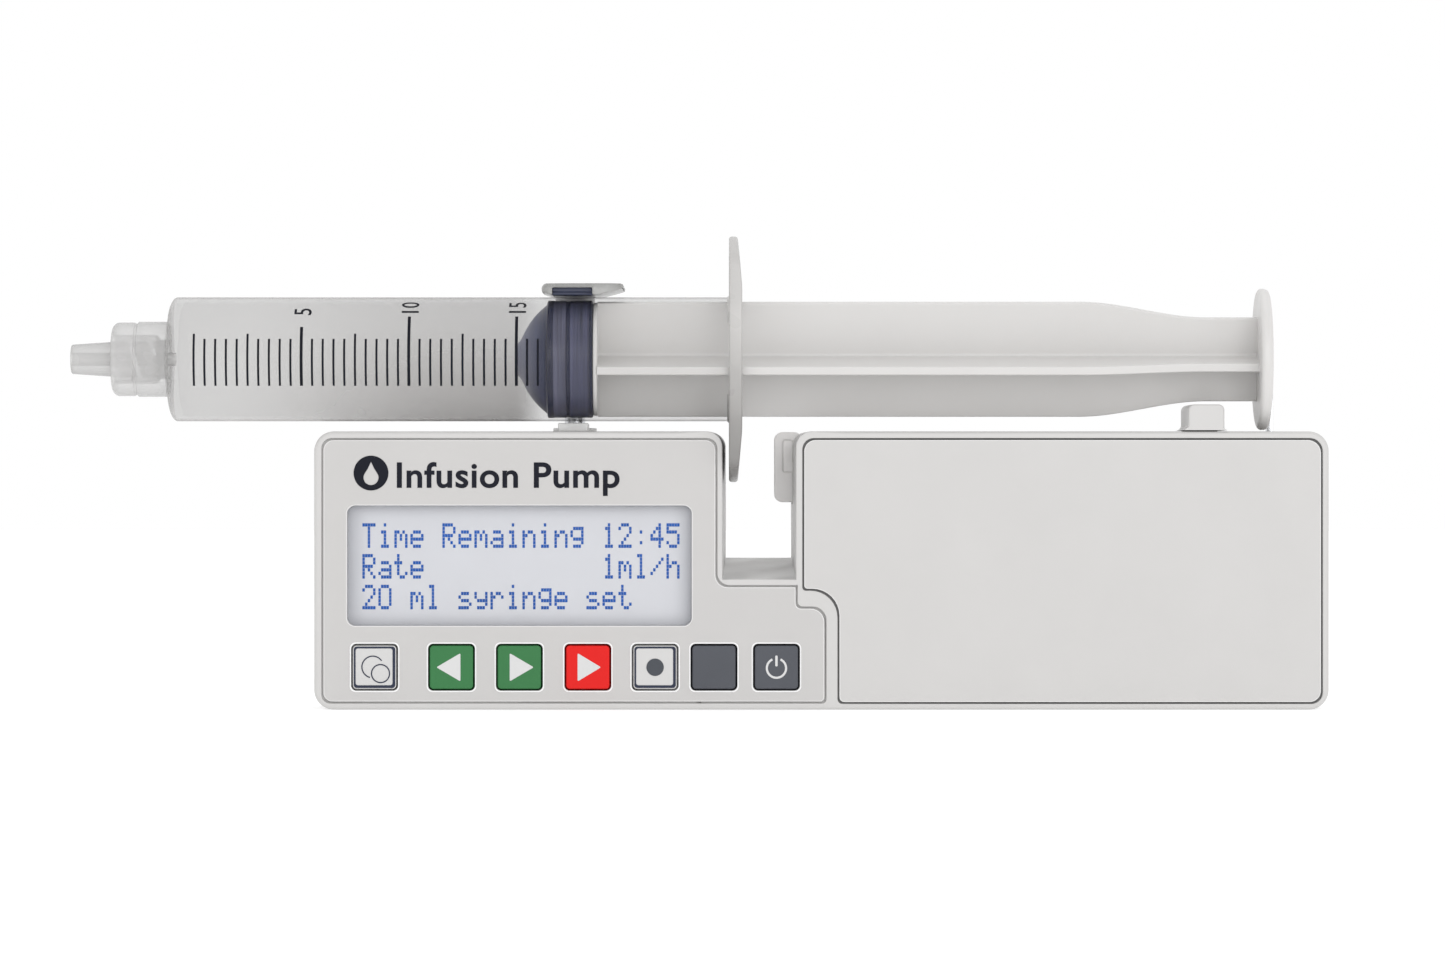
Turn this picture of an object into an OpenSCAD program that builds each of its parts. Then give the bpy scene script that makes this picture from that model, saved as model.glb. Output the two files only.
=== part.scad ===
// Syringe infusion pump with a loaded 20 ml syringe, standing on its base.
// Millimetres. X runs to the right, Y to the rear, Z up. The origin is the centre of the base.

/* [Housing] */
// Width of the housing
case_w = 169; // [168:0.5:171]
// Depth of the housing, front to rear
case_d = 23; // [23:0.5:24]
// Height of the housing
case_h = 46.35; // [46.3:0.05:46.5]
// Thickness of the side walls
wall = 2.1; // [1.9:0.1:2.1]
// Thickness of the front wall, and of the rear wall
face_wall = 2.2; // [2.1:0.1:2.3]
// Radius of the four outer corners
corner_r = 3.3; // [2.6:0.1:3.6]
// Distance of the parting line behind the middle of the housing
parting_y = 3.5; // [3.4:0.1:3.6]

/* [Flange slot] */
// Left edge of the slot at the front face
slot_left = -16.5; // [-16.6:0.1:-16.4]
// Right edge of the slot at the front face
slot_right = -4.25; // [-4.35:0.05:-4.25]
// Height of the slot's floor at the front face
slot_floor = 21.7; // [21.6:0.1:22]
// Rise of the floor from front to rear
slot_rise = 3.4; // [1:0.1:3.6]
// Draft of each side wall from front to rear
slot_draft = 0.6; // [0.1:0.1:0.7]
// Radius of the slot's upper corners
slot_corner_r = 2.6; // [1.5:0.1:2.8]

/* [Face plates] */
// Thickness of the two face plates
plate_t = 0.8; // [0.6:0.1:0.9]
// Width of the rim around the plates
rim = 1.3; // [1.2:0.1:1.4]
// Width of the seam between a plate and the rim
seam = 0.3; // [0.2:0.05:0.35]

/* [Display and keys] */
// Width of the display window
window_w = 57.4; // [56:0.1:57.8]
// Height of the display window
window_h = 20.05; // [19:0.05:20.4]
// Centre of the display window, across
window_x = -50.3; // [-50.5:0.1:-50.1]
// Centre of the display window, above the base
window_z = 23.98; // [23.9:0.01:24.1]
// Width and height of a key
key_size = 7.2; // [6.8:0.1:7.4]
// Gap around a key
key_gap = 0.3; // [0.25:0.05:0.35]
// Height that a key stands proud of the panel
key_proud = 0.3; // [0.2:0.1:0.5]
// Height of the row of keys above the base
key_z = 7.08; // [7:0.01:7.2]

/* [Syringe] */
// Outer diameter of the barrel
barrel_d = 20.8; // [20.4:0.1:20.8]
// Wall of the barrel
barrel_wall = 0.5; // [0.4:0.05:0.6]
// Front shoulder of the barrel, across
barrel_left = -109.3; // [-110:0.1:-109]
// Length of the finger flange, tip to tip
flange_h = 41.2; // [38:0.1:42]
// Width of the finger flange between its flats
flange_w = 23; // [22:0.5:24]
// Thickness of the finger flange
flange_t = 2.2; // [1.8:0.1:2.3]
// Diameter of the thumb disc
thumb_d = 23.7; // [22:0.1:23.7]
// Turn of the plunger's ribs about its axis, in degrees
rib_turn = 12.7; // [0:0.1:15]

/* [Drive] */
// Number of teeth on each gear
gear_teeth = 20; // [20:1:20]
// Module of the gears
gear_module = 0.6; // [0.6:0.01:0.6]
// Diameter of the lead screw
screw_d = 5; // [4.6:0.1:5.2]
// Travel of the actuator to the left, from where it stands
travel_left = 54; // [20:1:54]
// Travel of the actuator to the right, from where it stands
travel_right = 3; // [1:0.5:3]

/* [Barrel clamp] */
// Place of the clamp post, across
clamp_x = -41.5; // [-42:0.1:-41]
// Diameter of the clamp post
post_d = 3.5; // [3:0.1:3.6]

/* [Hidden] */
$fn = 48;
eps = 0.01;
run_gap = 0.05; // radial gap of a running fit
free_gap = 0.3; // gap between pieces that pass each other

case_x = case_w / 2;
front_y = -case_d / 2;
rear_y = case_d / 2;
inner_front = front_y + face_wall;
inner_rear = rear_y - face_wall;
plate_back = front_y + plate_t;

// The syringe's axis, and where its parts begin and end along X
axis_y = -3;
axis_z = 58.5;
barrel_r = barrel_d / 2;
bore_r = barrel_r - barrel_wall;
flange_left = -15.4;
flange_right = flange_left + flange_t;
stopper_left = -50.8;
ring_left = -45.7;
ring_right = -38.1;
disc_t = 0.8;
rib_reach = 9.75;
rib_end = 7.1;
neck_from = 44.5;
neck_to = 62;
thumb_left = 73.1;
thumb_right = 75.1;
nozzle_end = -125.7;
collar_left = -118.8;

// The drive
screw_y = -2.5;
screw_z = 37;
gear_pitch_r = gear_teeth * gear_module / 2;
motor_z = screw_z - 2 * gear_pitch_r;
gear_x0 = -1.4;
gear_x1 = 1.6;
plate_l0 = 2.8;
plate_l1 = 5.3;
plate_r0 = 80.2;
plate_r1 = 82.2;
shelf_z0 = 30.2;
shelf_z1 = 31;
frame_z1 = 43.6;
journal_r = 1.5;
bearing_r = 3;
motor_r = 6;
motor_x0 = 14.6;
motor_x1 = 26;
frame_y = 8.9; // half the depth of the drive frame
// The guide rods, as [y, z, radius]
rod_low = [5.2, 34.4, 2];
rod_high = [-6.9, 41.3, 1.5];
nut_r = 4.2;
head_x0 = 61.1;
head_x1 = 67.1;
head_top = 50.85;
carriage_x0 = 60.2;
carriage_x1 = thumb_right + free_gap;
pusher_t = 1;
track_y0 = 3.1;
track_y1 = 6.9;

// The battery and its door
battery_x0 = 28.9;
battery_x1 = 77.4;
battery_z0 = 2.9;
battery_z1 = 29.4;
battery_y0 = -8.6;
battery_y1 = 8.9;
door_x0 = 26.4;
door_x1 = case_x - 0.5;
door_lip = 0.6;

// The clamp
post_r = post_d / 2;
post_y = axis_y + barrel_r + free_gap + post_r;
boss_r = 4.2;
chamber_r = 3;
chamber_z0 = 20;
chamber_z1 = 42.35;
groove_z0 = 24.5;
groove_z1 = 26;
clamp_under = axis_z + barrel_r + 0.25;
pad_x0 = -44.9;
pad_x1 = -38.2;
pad_t = 0.5;
arm_t = 1.2;
arm_front = -9;
hub_r = 3.35;
tab_x0 = -46.7;
tab_x1 = -33;
tab_y0 = -11;
tab_y1 = 13.5;

// The flange sensor and its switch
sensor_x0 = -7.75;
sensor_x1 = -3;
sensor_y0 = 4.9;
sensor_y1 = 8.7;
sensor_z0 = 34.5;
sensor_travel = 2;
sensor_inner = -1.2;
sensor_mid_y = (sensor_y0 + sensor_y1) / 2;
spring_z = 40;
switch_x0 = 1.4;

// Screw posts inside the housing, as [x, z]
SCREW_POSTS = [[-81.2, 4.6], [-80, 41.8], [-21.2, 41.8], [1.5, 4.6], [22.8, 6]];
post_boss_r = 2.2;

KEY_X = [-74.4, -61.6, -50.3, -38.9, -27.7, -17.9, -7.5];

// ---------- helpers ----------

// A block between two corners
module block(x0, x1, y0, y1, z0, z1) translate([x0, y0, z0]) cube([x1 - x0, y1 - y0, z1 - z0]);

// A flat outline drawn in X and Z, made solid between two depths
module along_y(y0, y1) translate([0, y1, 0]) rotate([90, 0, 0]) linear_extrude(y1 - y0) children();

// A flat outline drawn in Y and Z, made solid between two places along X
module along_x(x0, x1) translate([x0, 0, 0]) rotate([90, 0, 90]) linear_extrude(x1 - x0) children();

// Round bars along each axis
module bar_x(y, z, r, x0, x1) translate([x0, y, z]) rotate([0, 90, 0]) cylinder(r = r, h = x1 - x0);
module bar_y(x, z, r, y0, y1) translate([x, y1, z]) rotate([90, 0, 0]) cylinder(r = r, h = y1 - y0);
module bar_z(x, y, r, z0, z1) translate([x, y, z0]) cylinder(r = r, h = z1 - z0);

// A solid of revolution about the syringe's axis, from points of [radius, x]
module turned(points) translate([0, axis_y, axis_z]) rotate([0, 90, 0]) rotate_extrude() polygon(points);

// A rectangle with round corners of one radius
module round_rect(x0, x1, z0, z1, r) {
    translate([x0 + r, z0]) square([x1 - x0 - 2 * r, z1 - z0]);
    translate([x0, z0 + r]) square([x1 - x0, z1 - z0 - 2 * r]);
    for (x = [x0 + r, x1 - r], z = [z0 + r, z1 - r]) translate([x, z]) circle(r);
}

// Points of an arc, from one angle to another
function arc(x, z, r, from, to, steps = 8) =
    [for (i = [0:steps]) let (a = from + (to - from) * i / steps) [x + r * cos(a), z + r * sin(a)]];

// A coil spring along +Z from the origin
module coil(r, wire, length, turns, sides = 6, per_turn = 12) {
    rings = turns * per_turn;
    points = [for (i = [0:rings], k = [0:sides - 1])
        let (turn = 360 * i / per_turn, side = 360 * k / sides, reach = r + wire * cos(side))
        [reach * cos(turn), reach * sin(turn), wire + (length - 2 * wire) * i / rings + wire * sin(side)]];
    walls = [for (i = [0:rings - 1], k = [0:sides - 1])
        let (next = (k + 1) % sides)
        [i * sides + k, (i + 1) * sides + k, (i + 1) * sides + next, i * sides + next]];
    ends = [[for (k = [0:sides - 1]) k], [for (k = [sides - 1:-1:0]) rings * sides + k]];
    polyhedron(points, concat(walls, ends), convexity = 10);
}

// One gear, with involute teeth, as a flat outline about its own centre
function involute(r, base_r) = let (a = acos(min(1, base_r / r))) tan(a) * 180 / PI - a;
module gear_outline(phase) {
    base_r = gear_pitch_r * cos(20);
    tip_r = gear_pitch_r + gear_module;
    root_r = gear_pitch_r - 1.25 * gear_module;
    slack = 0.7;
    half = 90 / gear_teeth - slack + involute(gear_pitch_r, base_r);
    radii = [base_r, (base_r + gear_pitch_r) / 2, gear_pitch_r, (gear_pitch_r + tip_r) / 2, tip_r];
    polygon([for (t = [0:gear_teeth - 1]) let (middle = phase + 360 * t / gear_teeth)
        each concat(
            [root_r * [cos(middle - half), sin(middle - half)]],
            [for (r = radii) let (a = middle - half + involute(r, base_r)) r * [cos(a), sin(a)]],
            [for (i = [len(radii) - 1:-1:0]) let (r = radii[i], a = middle + half - involute(r, base_r))
                r * [cos(a), sin(a)]],
            [root_r * [cos(middle + half), sin(middle + half)]])]);
}

// ---------- housing ----------

// The space of the flange slot, between its two drafted sides and over its rising floor
module slot_space() {
    side = atan(slot_draft / case_d);
    intersection() {
        translate([slot_left, front_y, 0]) rotate([0, 0, -side]) translate([0, -5, 0]) cube([40, 40, 60]);
        translate([slot_right, front_y, 0]) rotate([0, 0, side]) translate([-40, -5, 0]) cube([40, 40, 60]);
        translate([-40, front_y, slot_floor]) rotate([atan(slot_rise / case_d), 0, 0])
            translate([0, -5, 0]) cube([60, 50, 60]);
    }
    translate([slot_left, front_y, 0]) rotate([0, 0, -side]) slot_corner(-slot_corner_r);
    translate([slot_right, front_y, 0]) rotate([0, 0, side]) slot_corner(0);
}

// What is cut away to round one upper corner of the slot; x is where the cut begins
module slot_corner(x) {
    middle = x < 0 ? x : slot_corner_r;
    difference() {
        block(x, x + slot_corner_r, -5, case_d + 5, case_h - slot_corner_r, case_h + 5);
        bar_y(middle, case_h - slot_corner_r, slot_corner_r, -6, case_d + 6);
    }
}

// The outline of the inner space, or of a ring in the wall, at some distance inside the housing
module inner_outline(inset) difference() {
    round_rect(-case_x + inset, case_x - inset, inset, case_h - inset, max(corner_r - inset, 0.4));
    translate([slot_left - inset, slot_floor - inset])
        square([slot_right - slot_left + 2 * inset, case_h]);
}

module case_block(y0, y1) difference() {
    along_y(y0, y1) round_rect(-case_x, case_x, 0, case_h, corner_r);
    slot_space();
}

// The track in the top wall that the actuator runs along
module top_track() block(carriage_x0 - travel_left + 0.3, carriage_x1 + pusher_t + travel_right + 0.4,
    track_y0 - free_gap, track_y1 + free_gap, case_h - wall - 1, case_h + 1);

// Outline of the keypad panel, grown by a distance
module keypad_outline(grow) {
    x0 = -case_x + rim + 0.1 - grow;
    x1 = slot_left - 1 + grow;
    z0 = rim - 0.1 - grow;
    z1 = case_h - rim + grow;
    step_z = slot_floor - 1.14 + grow;
    tongue_x = slot_right + 0.1 + grow;
    tongue_z = 17 + grow;
    end_x = 0.65 + grow;
    polygon(concat(
        arc(x0 + 1.5, z0 + 1.5, 1.5, 180, 270),
        arc(end_x - 0.7, z0 + 0.7, 0.7, 270, 360, 4),
        arc(end_x - 2.3, tongue_z - 2.3, 2.3, 0, 90),
        arc(tongue_x + 0.85, tongue_z + 0.85, 0.85, 270, 180, 4),
        [[tongue_x, step_z]],
        arc(x1 + 2, step_z + 2, 2, 270, 180),
        arc(x1 - 1.7, z1 - 1.7, 1.7, 0, 90),
        arc(x0 + 1.7, z1 - 1.7, 1.7, 90, 180)));
}

// Outline of the drive cover, grown by a distance
module cover_outline(grow) {
    x0 = slot_right + 1.22 - grow;
    x1 = case_x - rim + 0.13 + grow;
    z0 = rim - 0.18 - grow;
    z1 = case_h - rim + 0.02 + grow;
    low_x = 2.83 - grow;
    shelf_z = 19.98 - grow;
    polygon(concat(
        arc(low_x + 0.8, z0 + 0.8, 0.8, 180, 270, 4),
        arc(x1 - 1.9, z0 + 1.9, 1.9, 270, 360),
        arc(x1 - 2.2, z1 - 2.2, 2.2, 0, 90),
        arc(x0 + 1.9, z1 - 1.9, 1.9, 90, 180),
        arc(x0 + 0.55, shelf_z + 0.55, 0.55, 180, 270, 4),
        arc(low_x - 4.5, shelf_z - 4.5, 4.5, 90, 0)));
}

module window_outline(inset)
    round_rect(window_x - window_w / 2 + inset, window_x + window_w / 2 - inset,
        window_z - window_h / 2 + inset, window_z + window_h / 2 - inset, 1.4 - inset);

module key_outline(x, grow)
    round_rect(x - key_size / 2 - grow, x + key_size / 2 + grow,
        key_z - key_size / 2 - grow, key_z + key_size / 2 + grow, 0.6 + grow);

module front_case() color([0.86, 0.86, 0.86]) {
    difference() {
        case_block(front_y, parting_y);
        along_y(inner_front, parting_y + 1) inner_outline(wall);
        along_y(front_y - 1, plate_back) keypad_outline(seam / 2);
        along_y(front_y - 1, plate_back) cover_outline(seam / 2);
        along_y(front_y - 1, inner_front + 1) window_outline(0);
        for (x = KEY_X) along_y(front_y - 1, inner_front + 1) key_outline(x, key_gap);
        top_track();
    }
    for (p = SCREW_POSTS) difference() {
        bar_y(p[0], p[1], post_boss_r, inner_front - 0.1, parting_y);
        bar_y(p[0], p[1], 1, -3, parting_y + 1);
    }
}

// The gasket's ring
module gasket_outline() difference() {
    inner_outline(0.6);
    inner_outline(1.4);
}

module rear_case() color([0.86, 0.86, 0.86]) difference() {
    union() {
        difference() {
            case_block(parting_y, rear_y);
            along_y(parting_y - 1, inner_rear) inner_outline(wall);
        }
        bar_z(clamp_x, post_y, boss_r, chamber_z0 - 1.2, case_h);
        for (p = SCREW_POSTS) bar_y(p[0], p[1], post_boss_r + 0.6, parting_y, inner_rear + 0.1);
    }
    along_y(parting_y - 1, parting_y + 0.8) gasket_outline();
    top_track();
    bar_z(clamp_x, post_y, chamber_r, chamber_z0, case_h + 1);
    for (p = SCREW_POSTS) {
        bar_y(p[0], p[1], 1.2, parting_y - 1, rear_y + 1);
        bar_y(p[0], p[1], 2.2, rear_y - 2.4, rear_y + 1);
    }
    battery_hatch();
    sensor_notch();
}

// The battery's way in, and the T-shaped recess that the door slides in
module battery_hatch() {
    block(battery_x0 - 0.5, battery_x1 + 0.5, battery_y1 - 1, rear_y + 1, battery_z0 - 0.3, battery_z1 + 0.3);
    block(door_x0 - 0.2, case_x + 1, rear_y - 1.6, rear_y - door_lip, 1.2, 31.3);
    block(door_x0 - 0.2, case_x + 1, rear_y - 1, rear_y + 1, 1.8, 30.7);
}

// The notch in the slot's right wall and in the top wall that the flange sensor slides into
module sensor_notch() {
    y0 = sensor_y0 - free_gap;
    y1 = sensor_y1 + free_gap;
    block(slot_right - 3, slot_right + wall + 0.1, y0, y1, sensor_z0 - free_gap, case_h + 1);
    block(slot_right, sensor_x1 + sensor_travel + free_gap, y0, y1, case_h - wall - 0.3, case_h + 1);
}

module case_gasket() color([0.25, 0.25, 0.27]) difference() {
    along_y(parting_y, parting_y + 0.8) gasket_outline();
    top_track();
}

module case_screws() color([0.75, 0.76, 0.78]) for (p = SCREW_POSTS) difference() {
    union() {
        bar_y(p[0], p[1], 1, -2, rear_y - 2.3);
        bar_y(p[0], p[1], 1.9, rear_y - 2.4, rear_y - 0.9);
    }
    for (a = [0, 90]) translate([p[0], rear_y - 1.3, p[1]]) rotate([0, a, 0])
        block(-1.3, 1.3, -0.4, 1, -0.25, 0.25);
}

module keypad_panel() color([0.84, 0.83, 0.82]) difference() {
    along_y(front_y, plate_back) keypad_outline(-seam / 2);
    along_y(front_y - 1, plate_back + 1) window_outline(0);
    for (x = KEY_X) along_y(front_y - 1, plate_back + 1) key_outline(x, key_gap);
}

module drive_cover() color([0.86, 0.85, 0.85]) along_y(front_y, plate_back) cover_outline(-seam / 2);

// ---------- display and electronics ----------

lcd_x0 = window_x - window_w / 2 - 1.3;
lcd_x1 = window_x + window_w / 2 + 1.3;
lcd_z0 = window_z - window_h / 2 - 1.3;
lcd_z1 = window_z + window_h / 2 + 1.3;
lcd_y0 = inner_front + 0.05;
lcd_y1 = lcd_y0 + 1.8;

module display_window() color([0.8, 0.82, 0.86, 0.5])
    along_y(front_y + 0.5, inner_front) window_outline(0.1);

module lcd_glass() color([0.78, 0.8, 0.85]) block(lcd_x0, lcd_x1, lcd_y0, lcd_y1, lcd_z0, lcd_z1);

module backlight() color([0.95, 0.96, 0.98])
    block(lcd_x0 + 0.5, lcd_x1 - 0.5, lcd_y1 + 0.05, lcd_y1 + 2, lcd_z0 + 0.5, lcd_z1 - 0.5);

board_y0 = -4.2;
board_y1 = board_y0 + 1.6;

module display_holder() color([0.2, 0.2, 0.22]) difference() {
    block(lcd_x0 - 1, lcd_x1 + 1, lcd_y0, board_y0 - 0.05, lcd_z0 - 0.8, lcd_z1 + 1);
    block(lcd_x0 - 0.05, lcd_x1 + 0.05, lcd_y0 - 1, lcd_y1 + 0.03, lcd_z0 - 0.05, lcd_z1 + 0.05);
    block(lcd_x0 + 0.4, lcd_x1 - 0.4, lcd_y0, lcd_y1 + 2.02, lcd_z0 + 0.4, lcd_z1 - 0.4);
    block(lcd_x0 + 4, lcd_x1 - 4, lcd_y0, board_y0 + 1, lcd_z0 + 4, lcd_z1 - 4);
}

// The rubber mat under the keys, with a low dome behind each key, and the board behind it
mat_x0 = KEY_X[0] - 3;
mat_x1 = KEY_X[6] + 4.1;
mat_y0 = inner_front + 1.65;
mat_y1 = mat_y0 + 1;
mat_z0 = key_z - 4.1;
mat_z1 = key_z + 3.9;

module key_mat() color([0.82, 0.82, 0.8]) {
    block(mat_x0, mat_x1, mat_y0, mat_y1, mat_z0, mat_z1);
    for (x = KEY_X) translate([x, mat_y0 + eps, key_z]) rotate([90, 0, 0]) cylinder(r1 = 2.4, r2 = 1.6, h = 0.2);
}

module key_board() color([0.12, 0.35, 0.2])
    block(mat_x0, mat_x1, mat_y1, mat_y1 + 1.2, mat_z0 - 0.2, mat_z1 + 0.2);

// The main board's two upper corners are cut away around the screw posts
board_x0 = -case_x + wall + 0.5;
board_x1 = slot_left - wall - 0.5;
board_z1 = case_h - wall - 0.5;

module main_board() color([0.1, 0.32, 0.18]) difference() {
    block(board_x0, board_x1, board_y0, board_y1, wall + 0.5, board_z1);
    for (p = SCREW_POSTS) bar_y(p[0], p[1], post_boss_r + 0.3, board_y0 - 1, board_y1 + 1);
    for (x = [board_x0, board_x1]) block(x - 2.4, x + 2.4, board_y0 - 1, board_y1 + 1, board_z1 - 2.4, board_z1 + 1);
}

// The chips on the main board, as [x, z, half width, half height, thickness]
CHIPS = [[-52, 24, 5, 5, 1.4], [-38, 27, 3, 2.5, 1.2], [-38, 18, 3, 2.5, 1.2], [-63, 12, 4.5, 2, 1.6],
    [-30, 35, 2.4, 1.6, 1]];
CAPACITORS = [[-74, 21], [-69, 21], [-64, 21]];
BUZZER = [-71, 34];

// The flat cable's lower run starts at a connector on the main board, and its end rises to the motor
cable_x0 = -27;
cable_x1 = 20;
cable_y0 = 4.2;
cable_t = 0.4;
cable_z0 = 10;
cable_top = 24.5;

module board_chips() color([0.1, 0.1, 0.11]) {
    for (c = CHIPS)
        block(c[0] - c[2], c[0] + c[2], board_y1, board_y1 + c[4], c[1] - c[3], c[1] + c[3]);
    for (c = CAPACITORS) bar_y(c[0], c[1], 1.9, board_y1, board_y1 + 5);
    block(cable_x0, cable_x0 + 5, board_y1, cable_y0, cable_z0 - 0.5, cable_z0 + 6.5);
}

module buzzer() color([0.08, 0.08, 0.09]) difference() {
    bar_y(BUZZER[0], BUZZER[1], 6, board_y1, board_y1 + 5);
    bar_y(BUZZER[0], BUZZER[1], 1.2, board_y1 + 3, board_y1 + 6);
}

// A flat cable from the main board, under the slot and up to the motor
module ribbon_cable() color([0.75, 0.75, 0.72]) {
    block(cable_x0, cable_x1, cable_y0, cable_y0 + cable_t, cable_z0, cable_z0 + 6);
    block(cable_x1 - 6, cable_x1, cable_y0, cable_y0 + cable_t, cable_z0 + 5.9, cable_top);
}

// ---------- keys ----------

module key_cap(x) {
    along_y(front_y - key_proud, inner_front + 0.65) key_outline(x, 0);
    along_y(inner_front + 0.05, inner_front + 0.65) key_outline(x, 0.6);
}

module mode_key() color([0.87, 0.87, 0.87]) key_cap(KEY_X[0]);
module back_key() color([0.24, 0.51, 0.29]) key_cap(KEY_X[1]);
module next_key() color([0.24, 0.51, 0.29]) key_cap(KEY_X[2]);
module start_key() color([0.94, 0.25, 0.24]) key_cap(KEY_X[3]);
module stop_key() color([0.87, 0.87, 0.87]) key_cap(KEY_X[4]);
module light_key() color([0.35, 0.37, 0.4]) key_cap(KEY_X[5]);
module power_key() color([0.35, 0.37, 0.4]) key_cap(KEY_X[6]);

// ---------- drive ----------

module drive_frame() color([0.7, 0.71, 0.73]) difference() {
    union() {
        block(plate_l0, plate_l1, -frame_y, frame_y, motor_z - 7.5, frame_z1);
        block(plate_r0, plate_r1, -frame_y, frame_y, shelf_z0, frame_z1);
        block(plate_l0, plate_r1, -frame_y, frame_y, shelf_z0, shelf_z1);
    }
    bar_x(screw_y, screw_z, bearing_r, plate_l0 - 1, plate_r1 + 1);
    bar_x(screw_y, motor_z, 2, plate_l0 - 1, plate_l1 + 1);
    for (rod = [rod_low, rod_high]) bar_x(rod[0], rod[1], rod[2], plate_l0 - 1, plate_r1 + 1);
}

module guide_rods() color([0.8, 0.8, 0.82])
    for (rod = [rod_low, rod_high]) bar_x(rod[0], rod[1], rod[2], plate_l0, plate_r1);

module screw_bearings() color([0.8, 0.68, 0.4])
    for (span = [[plate_l0 - 0.4, plate_l1], [plate_r0, plate_r1]]) difference() {
        bar_x(screw_y, screw_z, bearing_r, span[0], span[1]);
        bar_x(screw_y, screw_z, journal_r + run_gap, span[0] - 1, span[1] + 1);
    }

module lead_screw() color([0.72, 0.73, 0.75]) {
    bar_x(screw_y, screw_z, screw_d / 2, plate_l1 + 0.2, plate_r0 - 0.2);
    bar_x(screw_y, screw_z, journal_r, gear_x0 - 0.2, plate_r1 - 0.2);
}

module screw_gear() color([0.9, 0.88, 0.8]) difference() {
    union() {
        along_x(gear_x0, gear_x1) translate([screw_y, screw_z]) gear_outline(0);
        bar_x(screw_y, screw_z, 2.6, gear_x1 - 1, gear_x1 + 0.5);
    }
    bar_x(screw_y, screw_z, journal_r, gear_x0 - 1, gear_x1 + 1);
}

module motor_gear() color([0.9, 0.88, 0.8]) {
    along_x(gear_x0 + 0.2, gear_x1 - 0.2) translate([screw_y, motor_z]) gear_outline(180 / gear_teeth);
    bar_x(screw_y, motor_z, 1.5, gear_x0 + 0.4, plate_l1 + 2);
}

module motor_gearbox() color([0.76, 0.67, 0.42]) difference() {
    block(plate_l1, motor_x0, screw_y - motor_r, screw_y + motor_r, motor_z - 5, motor_z + 5);
    bar_x(screw_y, motor_z, 1.5 + run_gap, plate_l1 - 1, plate_l1 + 3);
}

module drive_motor() color([0.75, 0.76, 0.78]) {
    intersection() {
        bar_x(screw_y, motor_z, motor_r, motor_x0, motor_x1);
        block(motor_x0, motor_x1, screw_y - motor_r, screw_y + motor_r, motor_z - 5, motor_z + 5);
    }
    bar_x(screw_y, motor_z, 2, motor_x1 - 0.1, motor_x1 + 0.6);
    block(motor_x0 + 0.4, cable_x1 - 1, screw_y + motor_r - 0.5, cable_y0, cable_top - 3, cable_top);
}

module carriage() color([0.3, 0.31, 0.33]) difference() {
    union() {
        block(carriage_x0, carriage_x1, 0.2 - frame_y, frame_y - 0.2, shelf_z1 + 0.4, case_h - wall - 0.5);
        block(head_x0 + 0.1, head_x1 - 0.1, track_y0, track_y1, case_h - wall - 1, case_h + 0.2);
    }
    bar_x(screw_y, screw_z, nut_r, carriage_x0 - 1, carriage_x1 + 1);
    for (rod = [rod_low, rod_high])
        bar_x(rod[0], rod[1], rod[2] + run_gap, carriage_x0 - 1, carriage_x1 + 1);
}

module drive_nut() color([0.78, 0.62, 0.3]) difference() {
    bar_x(screw_y, screw_z, nut_r, carriage_x0, carriage_x1);
    bar_x(screw_y, screw_z, screw_d / 2 + run_gap, carriage_x0 - 1, carriage_x1 + 1);
}

// The arm that reaches forward over the top of the housing
module actuator_head() color([0.84, 0.84, 0.83]) {
    along_y(front_y, track_y1) {
        round_rect(head_x0, head_x1, case_h + 0.2, head_top, 1);
        translate([head_x0, case_h + 0.2]) square([head_x1 - head_x0, 2]);
        difference() {
            translate([head_x0 - 1, case_h + 0.2]) square([head_x1 - head_x0 + 1.6, 1]);
            translate([head_x0 - 1, case_h + 1.2]) circle(1);
            translate([head_x1 + 0.6, case_h + 0.8]) circle(0.6);
            translate([head_x1, case_h + 0.8]) square(2);
        }
    }
}

module plunger_pusher() color([0.78, 0.79, 0.8])
    block(carriage_x1, carriage_x1 + pusher_t, track_y0, track_y1, screw_z + 4.5, axis_z + 2.5);

// ---------- battery ----------

// The two terminals are 12.7 mm apart, centred on the battery's end
battery_y = (battery_y0 + battery_y1) / 2;
TERMINAL_Z = [for (side = [-1, 1]) (battery_z0 + battery_z1) / 2 + side * 12.7 / 2];

module battery() color([0.2, 0.22, 0.26]) {
    block(battery_x0 + 2.1, battery_x1, battery_y0, battery_y1, battery_z0, battery_z1);
    for (z = TERMINAL_Z) bar_x(battery_y, z, 2.8, battery_x0, battery_x0 + 2.2);
}

module battery_contacts() color([0.85, 0.7, 0.4]) {
    block(battery_x0 - 1.6, battery_x0 - 0.8, -6, 6.4, battery_z0 + 2, battery_z1 - 2);
    for (z = TERMINAL_Z) bar_x(battery_y, z, 3.2, battery_x0 - 0.9, battery_x0);
}

module battery_door() color([0.85, 0.85, 0.85]) difference() {
    union() {
        along_y(rear_y - 1.5, rear_y - door_lip - 0.1) round_rect(door_x0, door_x1, 1.5, 31, 0.5);
        along_y(rear_y - door_lip - 0.2, rear_y) round_rect(door_x0, door_x1, 2.1, 30.4, 0.5);
    }
    for (i = [0:4]) block(70 + 2 * i, 71 + 2 * i, rear_y - 0.5, rear_y + 1, 10, 22.5);
}

// ---------- flange sensor ----------

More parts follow.
